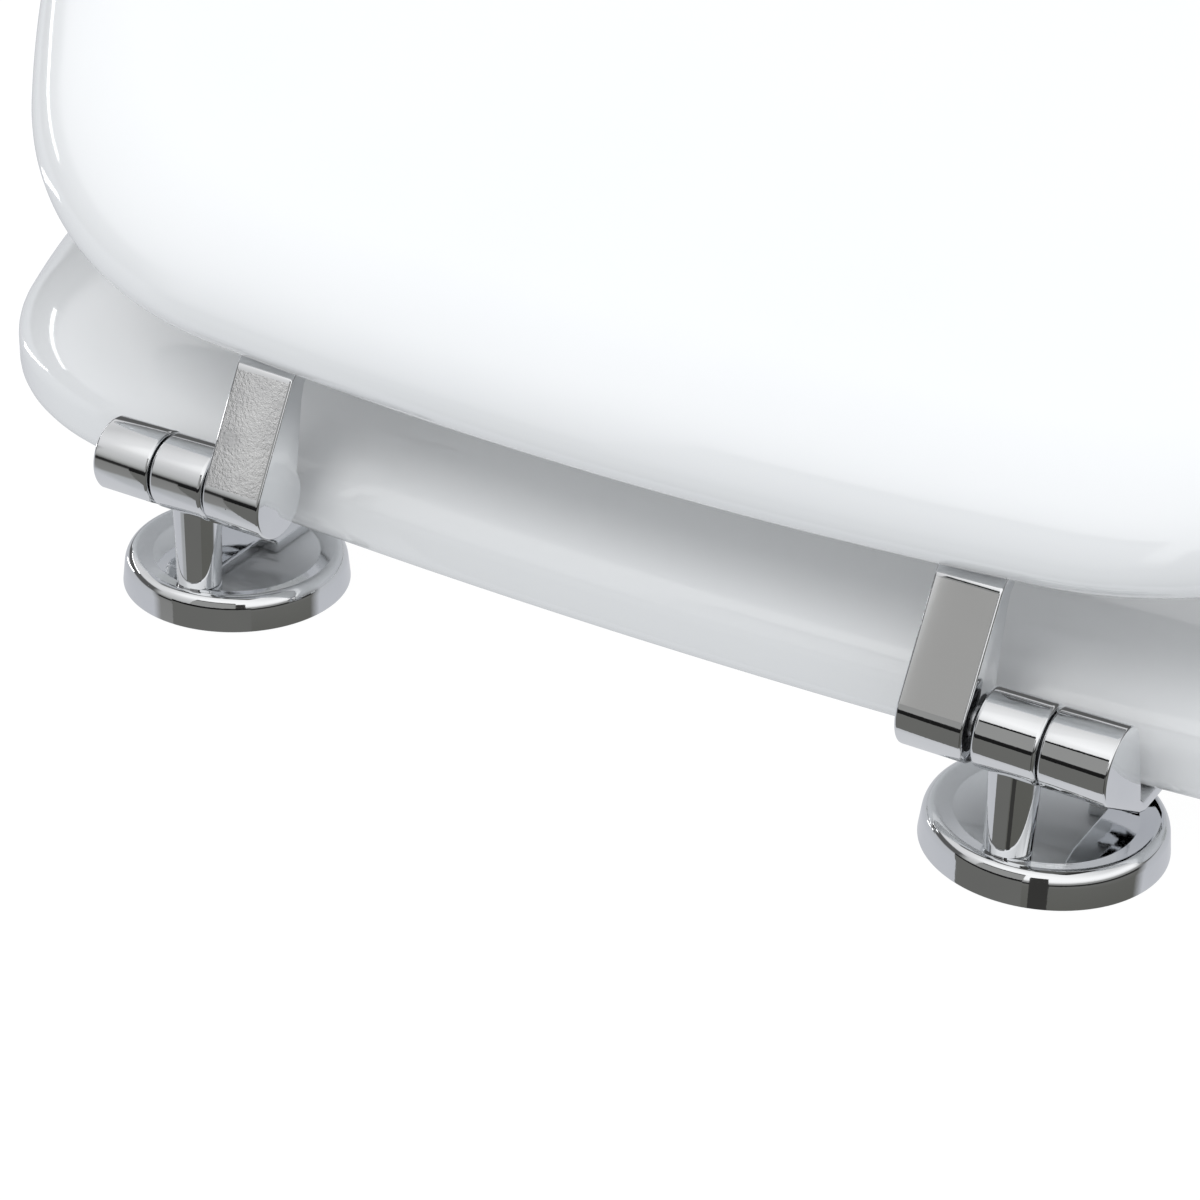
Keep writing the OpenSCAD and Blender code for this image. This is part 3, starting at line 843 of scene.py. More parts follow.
BUFFER = Finish(
    "buffer_plastic", (0.82, 0.82, 0.80), (0.76, 0.76, 0.74), 0.0, 0.35, 0.5, waves=700.0,
    grain=3500.0, grain_share=0.5, bump_mm=0.015, patches=110.0,
)


@dataclass
class Palette:
    """The materials, one for each finish."""

    groups: SharedGroups = field(default_factory=SharedGroups)
    by_slot: dict[Slot, bpy.types.Material] = field(default_factory=dict)
    by_face: dict[ArmFace, bpy.types.Material] = field(default_factory=dict)

    def __post_init__(self) -> None:
        """Builds every material."""
        finishes = {
            Slot.LACQUER: LACQUER, Slot.CHROME: CHROME, Slot.ZINC: ZINC, Slot.STEEL: STEEL,
            Slot.NYLON: NYLON, Slot.RUBBER: RUBBER, Slot.BUFFER: BUFFER,
        }
        self.by_slot = {slot: finish.build(self.groups) for slot, finish in finishes.items()}
        self.by_face = {
            ArmFace.HAMMERED: HAMMERED_CHROME.build(self.groups),
            ArmFace.SATIN: SATIN_CHROME.build(self.groups),
        }

    def dress_nodes(self) -> None:
        """Gives every node of the part the finish of its slot."""
        for row in frame["record"]["subparts"]:
            node = frame["nodes"][row["node"]]
            material = self.by_slot[Slot(row["material_slot"])]
            if not node.material_slots:
                node.data.materials.append(material)
            for slot in node.material_slots:
                slot.material = material


@dataclass
class Rules:
    """The Geometry Nodes trees, each built once."""

    loft: LoftRule = field(default_factory=LoftRule)
    turn: TurnRule = field(default_factory=TurnRule)
    scatter: ScatterRule = field(default_factory=ScatterRule)


# Sizes, in millimetres and degrees


@dataclass(frozen=True)
class HingeSizes:
    """Sizes of the hinges that their pieces share."""

    axis_back: float = 12.6
    axis_h: float = 25.8
    lid_open: float = 28.0
    pillar_mid: float = 77.5
    fixing_mid: float = 78.5
    eye_w: float = 10.9
    barrel_r: float = 6.65
    barrel_edge_r: float = 0.8
    arm_edge_r: float = 0.5
    seat_x: Point = (83.35, 94.75)
    lid_x: Point = (60.15, 71.65)
    side_play: float = 0.9
    pin_r: float = 2.5
    closed_end: float = 2.0
    fit: float = 0.05
    leaf_end: float = 62.0
    leaf_w: float = 18.0
    screw_places: Point = (53.0, 36.0)


@dataclass(frozen=True)
class Outline:
    """Outline of ring or lid: a bowed back, round corners, long sides and an oval nose."""

    back: float
    back_half: float
    back_turn: float
    corner_r: float
    corner_turn: float
    half_w: float
    nose: float
    steps: tuple[int, int, int, int] = (36, 56, 56, 90)

    def points(self) -> list[Point]:
        """The whole outline, anticlockwise from the middle of the back edge."""
        turn, corner = math.radians(self.back_turn), math.radians(self.corner_turn)
        back_r = self.back_half / math.sin(turn)
        start = (self.back_half, self.back + back_r * (1 - math.cos(turn)))
        mid = (start[0] - self.corner_r * math.sin(turn), start[1] + self.corner_r * math.cos(turn))
        end = (mid[0] + self.corner_r * math.sin(corner), mid[1] - self.corner_r * math.cos(corner))
        side_r = (self.half_w - end[0]) / (1 - math.sin(corner))
        widest = end[1] + side_r * math.cos(corner)
        n_back, n_corner, n_side, n_nose = self.steps
        half = arc((0, self.back + back_r), back_r, -90, self.back_turn - 90, n_back)[:-1]
        half += arc(mid, self.corner_r, self.back_turn - 90, self.corner_turn - 90, n_corner)[:-1]
        half += arc((self.half_w - side_r, widest), side_r, self.corner_turn - 90, 0, n_side)[:-1]
        for i in range(n_nose + 1):
            a = math.radians(90 * i / n_nose)
            half.append((self.half_w * math.cos(a), widest + (self.nose - widest) * math.sin(a)))
        return half + [(-x, y) for x, y in reversed(half[1:-1])]


@dataclass(frozen=True)
class Opening:
    """Opening of the ring: a rounded oval about its widest line."""

    half_w: float = 113.0
    back: float = 97.0
    front: float = 365.0
    widest: float = 214.0
    power: float = 2.2


SectionRow = tuple[float, float, float, float]


def loft(
    name: str, rule: LoftRule, outline: Outline, opening: Opening, section: Sequence[SectionRow],
    lift: float, material: bpy.types.Material,
) -> bpy.types.Mesh:
    """Carries a section round an outline by the loft rule.

    Args:
        name: The name of the mesh.
        rule: The loft rule.
        outline: The outline.
        opening: The opening, from whose middle all reaches are measured.
        section: Outline share, opening share, inset and height of each point.
        lift: The height of the section's foot.
        material: The piece's finish.

    Returns:
        The mesh, in millimetres.
    """
    stations = outline.points()
    outline_helper = point_mesh(name + "_outline", [(x, y, 0.0) for x, y in stations])
    section_helper = point_mesh(name + "_section", [row[:3] for row in section], [r[3] for r in section])
    mesh = run_tree(name, rule.tree, {
        "Outline": outline_helper, "Section": section_helper, "Stations": len(stations),
        "Rows": len(section), "Middle": (0.0, opening.widest, 0.0),
        "Opening half width": opening.half_w, "Opening behind": opening.widest - opening.back,
        "Opening ahead": opening.front - opening.widest, "Opening power": opening.power,
        "Lift": lift, "Material": material,
    })
    bpy.data.objects.remove(outline_helper)
    bpy.data.objects.remove(section_helper)
    face_outwards(mesh)
    return mesh


# Sub-assemblies


@dataclass
class RingAssembly:
    """The ring that is sat on, with its four buffers."""

    rules: Rules
    palette: Palette
    hinge: HingeSizes
    opening: Opening = Opening()
    outline: Outline = Outline(9.6, 106.0, 5.8, 57.0, 66.0, 184.5, 432.0)
    lift: float = 13.4
    thick: float = 19.0
    outer_round: Point = (24.0, 11.5)
    inner_round: Point = (17.0, 9.0)
    under_r: float = 3.5
    buffer_r: float = 11.0
    buffer_places: tuple[tuple[str, float, float], ...] = (
        ("back", 128.5, 92.0), ("front", 102.5, 344.0),
    )

    def build(self) -> None:
        """Builds and dresses the ring and its buffers."""
        mesh = loft("ring", self.rules.loft, self.outline, self.opening, self.section(), self.lift,
                    self.palette.by_slot[Slot.LACQUER])
        put("ring_lacquered", mesh, self.hinge, Body.RING, ["seat_ring"])
        for side in Side:
            for word, x, y in self.buffer_places:
                node = f"ring_buffer_{word}_{side.word}"
                shape = buffer_mesh(node, self.rules.turn, self.palette, self.buffer_r, self.lift,
                                    (side.value * x, y, self.lift))
                put(f"{node}_moulded", shape, self.hinge, Body.RING, [node])

    def section(self) -> list[SectionRow]:
        """The ring's section, up its outer edge, over its top, down its inner edge and back below."""
        rows: list[SectionRow] = []
        (out_w, out_h), (in_w, in_h) = self.outer_round, self.inner_round
        for i in range(7):
            a = math.radians(90 * i / 6)
            rows.append((1, 0, -self.under_r * (1 - math.sin(a)), self.under_r * (1 - math.cos(a))))
        for i in range(19):
            a = math.radians(90 * i / 18)
            rows.append((1, 0, -out_w * (1 - math.cos(a)), self.thick - out_h * (1 - math.sin(a))))
        for i in range(1, 8):
            t = i / 8
            rows.append((1 - t, t, in_w * t - out_w * (1 - t), self.thick))
        for i in range(19):
            a = math.radians(90 * i / 18)
            rows.append((0, 1, in_w * (1 - math.sin(a)), self.thick - in_h * (1 - math.cos(a))))
        for i in range(7):
            a = math.radians(90 * i / 6)
            rows.append((0, 1, self.under_r * (1 - math.cos(a)), self.under_r * (1 - math.sin(a))))
        for i in range(1, 5):
            t = i / 4
            rows.append((t, 1 - t, self.under_r * (1 - 2 * t), 0))
        return rows


@dataclass
class LidAssembly:
    """The lid, with its two buffers."""

    rules: Rules
    palette: Palette
    hinge: HingeSizes
    opening: Opening = Opening()
    outline: Outline = Outline(10.4, 77.0, 5.0, 77.5, 58.0, 181.0, 430.0)
    under: float = 42.9
    thick: float = 16.5
    crown: float = 3.0
    round_w: float = 26.0
    under_r: float = 6.0
    buffer_r: float = 9.0
    buffer_h: float = 10.2
    buffer_place: Point = (134.5, 302.0)

    def build(self) -> None:
        """Builds and dresses the lid and its buffers."""
        mesh = loft("lid", self.rules.loft, self.outline, self.opening, self.section(), self.under,
                    self.palette.by_slot[Slot.LACQUER])
        put("lid_lacquered", mesh, self.hinge, Body.LID, ["lid"])
        for side in Side:
            node = f"lid_buffer_{side.word}"
            x, y = self.buffer_place
            shape = buffer_mesh(node, self.rules.turn, self.palette, self.buffer_r, self.buffer_h,
                                (side.value * x, y, self.under))
            put(f"{node}_moulded", shape, self.hinge, Body.LID, [node])

    def section(self) -> list[SectionRow]:
        """The lid's section, out along its underside, up its rim and in over its dome."""
        rows: list[SectionRow] = []
        for i in range(6):
            t = i / 6
            rows.append((t, 0, -self.under_r * t, 0))
        for i in range(10):
            a = math.radians(90 * i / 9)
            rows.append((1, 0, -self.under_r * (1 - math.sin(a)), self.under_r * (1 - math.cos(a))))
        for i in range(1, 21):
            a = math.radians(90 * i / 20)
            rise = (self.thick - self.under_r) * math.sin(a)
            rows.append((1, 0, -self.round_w * (1 - math.cos(a)), self.under_r + rise))
        for i in range(1, 17):
            t = 1 - i / 16
            rows.append((t, 0, -self.round_w * t, self.thick + self.crown * (1 - t * t)))
        return rows


def buffer_mesh(
    name: str, rule: TurnRule, palette: Palette, radius: float, height: float, top: Sequence[float]
) -> bpy.types.Mesh:
    """A round moulded buffer with a dished foot, hanging from a level.

    Args:
        name: The name of the mesh.
        rule: The rule of turned pieces.
        palette: The materials.
        radius: Its radius at the top.
        height: Its height.
        top: The middle of its upper face.

    Returns:
        The mesh, in millimetres.
    """
    foot_r, edge, dish_r, dish_h, peg_r, peg_h = radius - 1, 1.5, 0.45 * radius, 0.7, 3.0, 8.0
    profile = [(0, dish_h - height), (dish_r - 0.6, dish_h - height)]
    profile += arc((dish_r - 0.6 + dish_h, -height + dish_h), dish_h, 180, 270, 5)
    profile += arc((foot_r - edge, edge - height), edge, -90, 0, 8)
    profile += [(radius - 0.15, -0.5), (radius, 0), (peg_r, 0), (peg_r, peg_h - 0.8),
                (peg_r - 0.8, peg_h), (0, peg_h)]
    return rule.make(name, profile, top, palette.by_slot[Slot.BUFFER])


@dataclass
class HingeAssembly:
    """One hinge: cover, pillar with its eye, seat arm and lid arm."""

    side: Side
    rules: Rules
    palette: Palette
    hinge: HingeSizes
    cover_r: float = 20.2
    cover_h: float = 6.1
    cover_rim_w: float = 2.0
    cover_rim_h: float = 2.9
    cover_dish: float = 0.8
    cover_wall: float = 1.1
    disc_t: float = 0.55
    cover_taper: float = 0.35
    foot_edge: float = 0.1
    rim_start: float = 11.0
    shoulder_slope: float = 16.0
    shoulder_bend: float = 1.5
    shoulder_fillet: float = 0.6
    pillar_foot_r: float = 3.95
    pillar_top_r: float = 4.25
    bush_r: float = 3.6
    ring_lift: float = 13.4
    seat_leaf_t: float = 2.5
    lid_rise: float = 17.1
    lid_leaf_t: float = 3.2
    rake: float = 32.5
    heel_r: float = 4.5

    def build(self) -> None:
        """Builds and dresses the hinge's pieces."""
        self.cover()
        self.pillar()
        self.seat_arm()
        self.lid_arm()

    @property
    def disc_top(self) -> float:
        """Height of the cover's flat disc over the pan."""
        return self.cover_h - self.cover_dish

    @property
    def heel_y(self) -> float:
        """Where the heel's arc is centred, so that it leaves the raked face without a kink."""
        rake, barrel_r = math.radians(self.rake), self.hinge.barrel_r
        drop = math.cos(rake) * (self.lid_rise - self.heel_r)
        return (drop - barrel_r + self.heel_r) / math.sin(rake)

    def cover(self) -> None:
        """Turns the round cover."""
        wall_r = self.cover_r - self.cover_taper
        top_r = wall_r - self.cover_rim_w
        inner_r = wall_r - self.cover_wall
        under = self.disc_top - self.disc_t
        slope = math.radians(self.shoulder_slope)
        bends = self.shoulder_bend + self.shoulder_fillet
        flat = (self.cover_dish - bends * (1 - math.cos(slope))) / math.sin(slope)
        disc_r = top_r - bends * math.sin(slope) - flat * math.cos(slope)
        profile = [(0, under), (inner_r - 1.5, under), (inner_r, under - 1.5), (inner_r, 0),
                   (self.cover_r - self.foot_edge, 0), (self.cover_r, self.foot_edge),
                   (self.cover_r, 2 * self.foot_edge)]
        rim_foot = self.cover_h - self.cover_rim_h
        profile += [(top_r + self.cover_rim_w * x, rim_foot + self.cover_rim_h * z)
                    for x, z in arc((0, 0), 1.0, self.rim_start, 90, 26)]
        profile += arc((top_r, self.cover_h - self.shoulder_bend), self.shoulder_bend, 90,
                       90 + self.shoulder_slope, 5)[1:]
        profile += arc((disc_r, self.disc_top + self.shoulder_fillet), self.shoulder_fillet,
                       270 + self.shoulder_slope, 270, 5)
        profile += [(disc_r - 0.3, self.disc_top), (0, self.disc_top)]
        foot = (self.side.value * self.hinge.fixing_mid, self.hinge.axis_back, 0)
        node = f"cover_{self.side.word}"
        mesh = self.rules.turn.make(node, profile, foot, self.palette.by_slot[Slot.CHROME], steps=FINE_TURN)
        put(f"{node}_turned", mesh, self.hinge, Body.BASE, [node])

    def pillar(self) -> None:
        """Turns the pillar and its eye."""
        size, chrome = self.hinge, self.palette.by_slot[Slot.CHROME]
        foot_round, sink, wall_depth, support = 0.4, 1.0, 5.0, 0.1
        node = f"pillar_{self.side.word}"
        stem = [(0, self.disc_top - sink), (self.pillar_foot_r - foot_round, self.disc_top - sink),
                (self.pillar_foot_r - foot_round, self.disc_top)]
        stem += arc((self.pillar_foot_r - foot_round, self.disc_top + foot_round), foot_round, -90, 0, 6)[1:]
        stem += [(self.pillar_foot_r, self.disc_top + foot_round + support),
                 (self.pillar_top_r, size.axis_h - wall_depth - support),
                 (self.pillar_top_r, size.axis_h - wall_depth), (0, size.axis_h - wall_depth)]
        stem_mesh = self.rules.turn.make(node + "_stem", stem, (size.pillar_mid, 0, 0), chrome)
        eye = self._barrel_profile(size.eye_w, self.bush_r)
        eye_mesh = self.rules.turn.make(
            node + "_eye", eye, (size.pillar_mid - size.eye_w / 2, 0, size.axis_h), chrome,
            along_x=True, steps=FINE_TURN,
        )
        whole = mirrored(joined(node, [stem_mesh, eye_mesh]), self.side)
        put(f"{node}_turned", whole, size, Body.BASE, [node])

    def _barrel_profile(self, length: float, bore: float) -> list[Point]:
        """Closed profile of a bored knuckle with rounded ends.

        Args:
            length: The knuckle's length.
            bore: The radius of its bore.

        Returns:
            Radius and height of each point.
        """
        r, edge = self.hinge.barrel_r, self.hinge.barrel_edge_r
        profile = [(bore, 0.2), (bore + 0.2, 0)]
        profile += arc((r - edge, edge), edge, -90, 0, 8)
        profile += arc((r - edge, length - edge), edge, 0, 90, 8)
        profile += [(bore + 0.2, length), (bore, length - 0.2), (bore, 0.2)]
        return profile

    def seat_arm(self) -> None:
        """Cuts the seat arm from its side profile and adds its leaf."""
        size = self.hinge
        top = self.ring_lift - size.axis_h
        low = top - self.seat_leaf_t
        r = size.barrel_r
        start = math.degrees(math.atan2(1.6, r - 0.2))
        end = math.degrees(math.atan2(-0.72, -0.7)) + 360
        leaf_y = size.leaf_end - size.leaf_w / 2
        profile = arc((0, 0), r, start, end, 72)
        profile += [(10.0, low + 1), (12.6, low), (leaf_y - 20, low), (leaf_y - 20, top), (11.4, top),
                    (10.2, top + 1.2), (9.4, top + 4.6)]
        x0, x1 = size.seat_x
        bore = (x0 - 1, x1 - size.closed_end + size.fit, size.pin_r + size.fit / 2)
        arm = self._arm("seat_arm", profile, size.seat_x, bore, self.ring_lift - self.seat_leaf_t,
                        self.seat_leaf_t)
        node = f"seat_arm_{self.side.word}"
        put(f"{node}_cast", mirrored(arm, self.side), size, Body.RING, [node])

    def lid_arm(self) -> None:
        """Cuts the lid arm from its side profile, adds its leaf and finishes its rear face."""
        size = self.hinge
        low = self.lid_rise - self.lid_leaf_t
        heel_y, heel_r = self.heel_y, self.heel_r
        start, end = 90 + self.rake, 360 + math.degrees(math.atan2(0.5, size.barrel_r))
        leaf_y = size.leaf_end - size.leaf_w / 2
        profile = arc((0, 0), size.barrel_r, start, end, 72)
        profile += [(heel_y - 1.4, low - 2.6), (heel_y + 0.4, low - 0.8), (heel_y + 3.2, low),
                    (leaf_y - 20, low), (leaf_y - 20, self.lid_rise), (heel_y, self.lid_rise)]
        profile += arc((heel_y, self.lid_rise - heel_r), heel_r, 90, 90 + self.rake, 8)[1:]
        play = size.side_play if self.side is Side.RIGHT else 0.0
        x0, x1 = size.lid_x[0] - play, size.lid_x[1] - play
        bore = (x0 + size.closed_end, x1 + 1, size.pin_r + size.fit)
        arm = self._arm("lid_arm", profile, (x0, x1), bore,
                        size.axis_h + self.lid_rise - self.lid_leaf_t, self.lid_leaf_t)
        node = f"lid_arm_{self.side.word}"
        face = ArmFace.SATIN if self.side is Side.RIGHT else ArmFace.HAMMERED
        self._finish_rear_face(arm, self.palette.by_face[face])
        put(f"{node}_cast", mirrored(arm, self.side), size, Body.LID, [node])

    def _finish_rear_face(self, arm: bpy.types.Mesh, material: bpy.types.Material) -> None:
        """Gives the flat raked rear face of a lid arm its own finish.

        Args:
            arm: The arm, closed, in millimetres from the hinge axis.
            material: The finish.
        """
        normal = Vector((0, -math.sin(math.radians(self.rake)), math.cos(math.radians(self.rake))))
        arm.materials.append(material)
        last = len(arm.materials) - 1
        for polygon in arm.polygons:
            above = polygon.center.z - self.hinge.axis_h
            if polygon.normal.dot(normal) > 0.9995 and above > 0:
                polygon.material_index = last

    def _arm(
        self, name: str, profile: Sequence[Point], span: Point, bore: tuple[float, float, float],
        leaf_low: float, leaf_t: float,
    ) -> bpy.types.Mesh:
        """An arm for the right hinge: its profile cut through, bored and rounded, and its leaf.

        Args:
            name: The arm's name.
            profile: Its side profile from the hinge axis.
            span: Where it starts and ends along the axis.
            bore: Start, end and radius of the pin's bore.
            leaf_low: The level of the leaf's lower face.
            leaf_t: The leaf's thickness.

        Returns:
            The mesh, in millimetres.
        """
        chrome = self.palette.by_slot[Slot.CHROME]
        raised = [(y, z + self.hinge.axis_h) for y, z in profile]
        blank = solid_from_profile(name, raised, span[0], span[1], chrome)
        ring = arc((0, self.hinge.axis_h), bore[2], 0, 360, 48)[:-1]
        cutter = solid_from_profile(name + "_bore", ring, bore[0], bore[1], chrome)
        cutter.hide_render = True
        cut = blank.modifiers.new("bore", "BOOLEAN")
        cut.operation, cut.object, cut.solver = "DIFFERENCE", cutter, "EXACT"
        self._round_edges(blank)
        body = plain_mesh(name, blank)
        bpy.data.objects.remove(cutter)
        leaf = self._leaf(name + "_leaf", (span[0] + span[1]) / 2, leaf_low, leaf_t)
        return joined(name, [body, leaf])

    def _round_edges(self, solid: bpy.types.Object) -> None:
        """Adds the small rounding that a cast and polished edge has."""
        bevel = solid.modifiers.new("edge", "BEVEL")
        bevel.width = self.hinge.arm_edge_r
        bevel.segments = 4
        bevel.limit_method = "ANGLE"
        bevel.angle_limit = math.radians(35)
        bevel.use_clamp_overlap = False

    def _leaf(self, name: str, mid: float, low: float, thick: float) -> bpy.types.Mesh:
        """The wide, round-ended part of a leaf.

        Args:
            name: Its name.
            mid: Its middle along the hinge axis.
            low: The level of its lower face.
            thick: Its thickness.

        Returns:
            The mesh, in millimetres.
        """
        size = self.hinge
        half, end = size.leaf_w / 2, size.leaf_end
        start = size.screw_places[1] - half
        outline = [(mid - half, start), (mid + half, start)]
        outline += arc((mid, end - half), half, 0, 180, 32)
        count = len(outline)
        points = [(x, y, z) for z in (low, low + thick) for x, y in outline]
        faces = [(i, (i + 1) % count, count + (i + 1) % count, count + i) for i in range(count)]
        faces += [tuple(reversed(range(count))), tuple(range(count, 2 * count))]
        mesh = bpy.data.meshes.new(name)
        mesh.from_pydata(points, [], faces)
        mesh.materials.append(self.palette.by_slot[Slot.CHROME])
        leaf = bpy.data.objects.new(name, mesh)
        bpy.context.scene.collection.objects.link(leaf)
        face_outwards(mesh)
        self._round_edges(leaf)
        return plain_mesh(name, leaf)


@dataclass
class ScrewSet:
    """The four countersunk wood screws of one pair of leaves."""

    node: str
    body: Body
    rules: Rules
    palette: Palette
    hinge: HingeSizes
    level: float
    places_x: Point
    head_r: float = 3.5
    head_rise: float = 0.5
    shank_r: float = 1.75
    length: float = 15.0
    slot_half: float = 0.45
    slot_reach: float = 2.0
    slot_depth: float = 1.3

    def build(self) -> None:
        """Builds the screws by the scatter rule."""
        steel = self.palette.by_slot[Slot.STEEL]
        screw = bpy.data.objects.new(self.node + "_one", self._one())
        places = [(x, y, self.level) for x in self.places_x for y in self.hinge.screw_places]
        helper = point_mesh(self.node + "_places", places)
        mesh = run_tree(self.node, self.rules.scatter.tree, {
            "Places": helper, "Screw": screw, "Turn step": 0.7, "Material": steel,
        })
        for temporary in (screw, helper):
            bpy.data.objects.remove(temporary)
        put(f"{self.node}_set", mesh, self.hinge, self.body, [self.node])

    def _one(self) -> bpy.types.Mesh:
        """One screw that points up, with a domed head and a pressed cross recess."""
        steps, rings = 48, 14
        points = [(0.0, 0.0, self._face(0, 0))]
        for i in range(1, rings + 1):
            r = self.head_r * i / rings
            for j in range(steps):
                a = 2 * math.pi * j / steps
                x, y = r * math.cos(a), r * math.sin(a)
                points.append((x, y, self._face(x, y)))
        for r, z in ((self.shank_r, self.head_r - self.shank_r), (self.shank_r, self.length - 4),
                     (0.3, self.length)):
            points += [(r * math.cos(2 * math.pi * j / steps), r * math.sin(2 * math.pi * j / steps), z)
                       for j in range(steps)]
        points.append((0.0, 0.0, self.length))
        rows = rings + 3
        faces: list[tuple[int, ...]] = [(0, 1 + (j + 1) % steps, 1 + j) for j in range(steps)]
        for i in range(rows - 1):
            a, b = 1 + i * steps, 1 + (i + 1) * steps
            faces += [(a + j, a + (j + 1) % steps, b + (j + 1) % steps, b + j) for j in range(steps)]
        last, tip = 1 + (rows - 1) * steps, len(points) - 1
        faces += [(last + j, last + (j + 1) % steps, tip) for j in range(steps)]
        mesh = bpy.data.meshes.new(self.node + "_one")
        mesh.from_pydata(points, [], faces)
        face_outwards(mesh)
        return mesh

    def _face(self, x: float, y: float) -> float:
        """Level of the head's face at a point: a low dome less the cross recess."""
        r = math.hypot(x, y)
        dome = -self.head_rise * (1 - (r / self.head_r) ** 2)
        arm = max(self.slot_half - min(abs(x), abs(y)), 0.0) / self.slot_half
        reach = max(1 - r / self.slot_reach, 0.0)
        return dome + self.slot_depth * min(arm * 3, 1.0) * min(reach * 3, 1.0)


# Studio


Ramp = tuple[tuple[float, Colour], ...]

BACK_LEFT: Ramp = (
    (-1.0, (0.58, 0.587, 0.605)),
    (-0.86, (0.57, 0.577, 0.595)),
    (-0.72, (0.46, 0.47, 0.49)),
    (-0.52, (0.40, 0.41, 0.42)),
    (-0.44, (0.23, 0.23, 0.225)),
    (-0.11, (0.20, 0.20, 0.195)),
    (-0.07, (0.06, 0.06, 0.057)),
    (-0.05, (0.02, 0.02, 0.02)),
    (0.02, (0.02, 0.02, 0.02)),
    (0.06, (0.20, 0.20, 0.195)),
    (0.14, (0.38, 0.385, 0.38)),
    (0.25, (0.485, 0.487, 0.485)),
    (0.42, (0.565, 0.567, 0.57)),
    (0.59, (0.69, 0.69, 0.69)),
    (0.70, (0.86, 0.86, 0.86)),
    (0.80, (0.97, 0.97, 0.97)),
    (1.0, (1.0, 1.0, 1.0)),
)
BACK_RIGHT: Ramp = (
    (-1.0, (0.58, 0.587, 0.605)),
    (-0.80, (0.52, 0.53, 0.55)),
    (-0.77, (0.12, 0.12, 0.115)),
    (-0.60, (0.10, 0.10, 0.09)),
    (-0.11, (0.142, 0.142, 0.135)),
    (-0.07, (0.05, 0.05, 0.047)),
    (-0.05, (0.02, 0.02, 0.02)),
    (0.02, (0.02, 0.02, 0.02)),
    (0.06, (0.24, 0.24, 0.235)),
    (0.16, (0.32, 0.32, 0.315)),
    (0.24, (0.75, 0.75, 0.75)),
    (0.36, (0.97, 0.97, 0.97)),
    (1.0, (1.0, 1.0, 1.0)),
)
FRONT: Ramp = (
    (-1.0, (0.58, 0.587, 0.605)),
    (-0.40, (0.49, 0.50, 0.53)),
    (0.0, (0.47, 0.48, 0.50)),
    (0.08, (0.09, 0.09, 0.09)),
    (0.38, (0.10, 0.10, 0.10)),
    (0.44, (0.62, 0.62, 0.63)),
    (1.0, (0.985, 0.985, 0.985)),
)


def hang_unseen(
    name: str, points: Sequence[tuple[float, float, float]], material: bpy.types.Material
) -> None:
    """Hangs a flat sheet in the studio that shows in reflections alone.

    Args:
        name: The sheet's name.
        points: Its corners in order, in metres.
        material: What it is painted with.
    """
    mesh = bpy.data.meshes.new(name)
    mesh.from_pydata(points, [], [tuple(range(len(points)))])
    material.cycles.emission_sampling = "NONE"
    mesh.materials.append(material)
    sheet = bpy.data.objects.new(name, mesh)
    bpy.context.scene.collection.objects.link(sheet)
    sheet.visible_camera = False
    sheet.visible_diffuse = False
    sheet.visible_shadow = False
    sheet.visible_transmission = False


EVEN: Ramp = (
    (-1.0, (0.66, 0.685, 0.712)),
    (-0.02, (0.66, 0.685, 0.712)),
    (0.02, (0.72, 0.745, 0.776)),
    (1.0, (0.72, 0.745, 0.776)),
)


@dataclass(frozen=True)
class Card:
    """An upright card beside the part, which shows in its reflections alone.

    All lengths are in metres. Its upper strip, where it has one, is dark and frayed.
    """

    name: str
    left: Point
    right: Point
    low: float
    high: float
    colour: Colour
    strip: float = 0.0
    fray: float = 0.0
    threads_per_metre: float = 1300.0

    def hang(self) -> None:
        """Hangs the card in the studio."""
        (x0, y0), (x1, y1) = self.left, self.right
        points = [(x0, y0, self.low), (x1, y1, self.low), (x1, y1, self.high), (x0, y0, self.high)]
        hang_unseen(self.name, points, self._paint())

    def _paint(self) -> bpy.types.Material:
        """The card's even tone, with its frayed strip."""
        material = bpy.data.materials.new(self.name)
        material.use_nodes = True
        material.node_tree.nodes.clear()
        graph = Graph(material.node_tree)
        place = graph.add("ShaderNodeTexCoord").outputs["Object"]
        level = graph.add("ShaderNodeSeparateXYZ", {"Vector": place}).outputs["Z"]
        along = graph.add("ShaderNodeVectorMath", {0: place, 1: (1.0, 1.0, 0.0)}, operation="MULTIPLY")
        threads = graph.add("ShaderNodeTexNoise", {
            "Vector": graph.out(along), "Scale": self.threads_per_metre, "Detail": 2.0,
        })
        top = graph.math("MULTIPLY_ADD", threads.outputs[0], -2 * self.fray, self.high + 0.3 * self.fray)
        gone = graph.math("GREATER_THAN", level, top)
        dark = graph.math("GREATER_THAN", level, self.high - self.fray - self.strip)
        tone = graph.add("ShaderNodeMix", {
            0: dark, 6: (*self.colour, 1.0), 7: (0.012, 0.012, 0.012, 1.0),
        }, data_type="RGBA")
        glow = graph.add("ShaderNodeEmission", {"Color": tone.outputs[2], "Strength": 1.0})
        clear = graph.add("ShaderNodeBsdfTransparent")
        shader = graph.add("ShaderNodeMixShader", {0: gone, 1: glow.outputs[0], 2: clear.outputs[0]})
        end = graph.add("ShaderNodeOutputMaterial")
        graph.tree.links.new(shader.outputs[0], end.inputs["Surface"])
        return material


